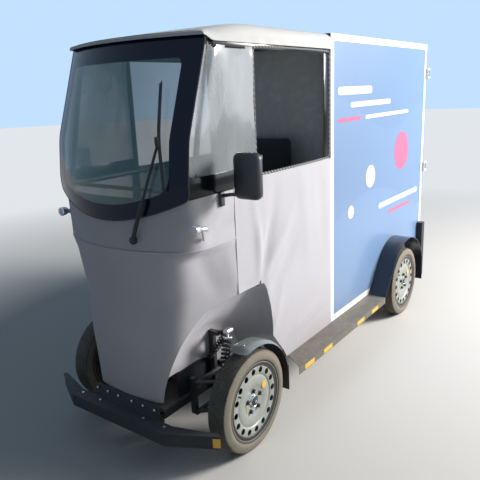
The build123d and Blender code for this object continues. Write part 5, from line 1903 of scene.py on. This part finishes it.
class CARGOBIKE_OT_stage(Operator):
    """Make the floor, the lights, the background and the camera."""

    bl_idname = "cargobike.stage"
    bl_label = "Stage"

    def execute(self, context):
        stage = context.scene.cargo_stage
        drop_selection()
        bpy.ops.mesh.primitive_circle_add(vertices=96, radius=40.0, fill_type="NGON")
        floor = named("floor")
        shader = Shader("stage_floor")
        x, y = shader.axis("X"), shader.axis("Y")
        far = ((x * x + y * y) ** 0.5).above(4.6, 2.2)
        rays = ("Camera", "Glossy", "Transmission")
        seen = [shader.node("ShaderNodeLightPath", {}, out=f"Is {ray} Ray") for ray in rays]
        far = far * (seen[0] + seen[1] + seen[2]).clamped()
        tone = shader.mix(far, (0.62, 0.60, 0.57), (0.0, 0.0, 0.0))
        glow = shader.mix(far, (0.0, 0.0, 0.0), (0.74, 0.76, 0.78))
        floor.data.materials.append(shader.surface(
            Base_Color=tone, Roughness=0.85, Specular_IOR_Level=0.2, Emission_Color=glow, Emission_Strength=1.0,
        ))

        area_light("key_light", (5.6, 4.5, 3.8), (0.3, -0.4, 0.8), 2.4, stage.key_power,
                   shape="DISK", color=(1.0, 0.975, 0.94))
        area_light("fill_light", (5.0, 3.6, 3.4), (0, 0, 0.9), 4.5, stage.key_power * FILL_SHARE)

        world = bpy.data.worlds.new("studio")
        context.scene.world = world
        world.use_nodes = True
        tree = world.node_tree
        back = tree.nodes["Background"]
        back.inputs["Color"].default_value = (0.55, 0.76, 1.0, 1.0)
        path = tree.nodes.new("ShaderNodeLightPath")
        seen = path.outputs["Is Camera Ray"]
        for ray in ("Glossy", "Transmission"):
            either = tree.nodes.new("ShaderNodeMath")
            either.operation = "MAXIMUM"
            tree.links.new(seen, either.inputs[0])
            tree.links.new(path.outputs[f"Is {ray} Ray"], either.inputs[1])
            seen = either.outputs[0]
        level = tree.nodes.new("ShaderNodeMapRange")
        level.inputs["To Min"].default_value = stage.ambient
        level.inputs["To Max"].default_value = 1.0
        tree.links.new(seen, level.inputs["Value"])
        tree.links.new(level.outputs[0], back.inputs["Strength"])

        drop_selection()
        bpy.ops.object.camera_add()
        camera = context.object
        camera.name = "photo_camera"
        camera.data.sensor_width = 36.0
        camera.data.lens = stage.lens
        camera.matrix_world = camera_matrix()
        context.scene.camera = camera
        context.scene.view_settings.view_transform = "Standard"
        return {"FINISHED"}


# Add-on
class CARGOBIKE_PT_panel(Panel):
    """Buttons and settings of the cargo bike."""

    bl_label = "Cargo Bike"
    bl_idname = "CARGOBIKE_PT_panel"
    bl_space_type = "VIEW_3D"
    bl_region_type = "UI"
    bl_category = "Cargo Bike"

    def draw(self, context):
        for group in (context.scene.cargo_cloth, context.scene.cargo_wheel, context.scene.cargo_box,
                      context.scene.cargo_stage):
            for key in group.__annotations__:
                self.layout.prop(group, key)
        for operator in OPERATORS:
            self.layout.operator(operator.bl_idname)


SETTINGS = (
    ("cargo_cloth", ClothSettings),
    ("cargo_wheel", WheelSettings),
    ("cargo_box", BoxSettings),
    ("cargo_stage", StageSettings),
)
OPERATORS = (
    CARGOBIKE_OT_stage,
    CARGOBIKE_OT_finishes,
    CARGOBIKE_OT_nose,
    CARGOBIKE_OT_cowl,
    CARGOBIKE_OT_side_panels,
    CARGOBIKE_OT_roof,
    CARGOBIKE_OT_windscreen,
    CARGOBIKE_OT_side_films,
    CARGOBIKE_OT_tyres,
    CARGOBIKE_OT_rims,
    CARGOBIKE_OT_wheel_details,
    CARGOBIKE_OT_front_mudguards,
    CARGOBIKE_OT_coilovers,
    CARGOBIKE_OT_fasteners,
    CARGOBIKE_OT_mirrors,
    CARGOBIKE_OT_turn_signals,
    CARGOBIKE_OT_wiper,
    CARGOBIKE_OT_box_trim,
    CARGOBIKE_OT_box_print,
    CARGOBIKE_OT_seat,
)


def register():
    for key, group in SETTINGS:
        bpy.utils.register_class(group)
        setattr(bpy.types.Scene, key, PointerProperty(type=group))
    for operator in OPERATORS:
        bpy.utils.register_class(operator)
    bpy.utils.register_class(CARGOBIKE_PT_panel)


def unregister():
    bpy.utils.unregister_class(CARGOBIKE_PT_panel)
    for operator in reversed(OPERATORS):
        bpy.utils.unregister_class(operator)
    for key, group in reversed(SETTINGS):
        delattr(bpy.types.Scene, key)
        bpy.utils.unregister_class(group)


def main():
    """Build every piece in order."""
    register()
    make_materials()
    for operator in OPERATORS:
        group, action = operator.bl_idname.split(".")
        getattr(getattr(bpy.ops, group), action)()


if __name__ == "__main__":
    main()
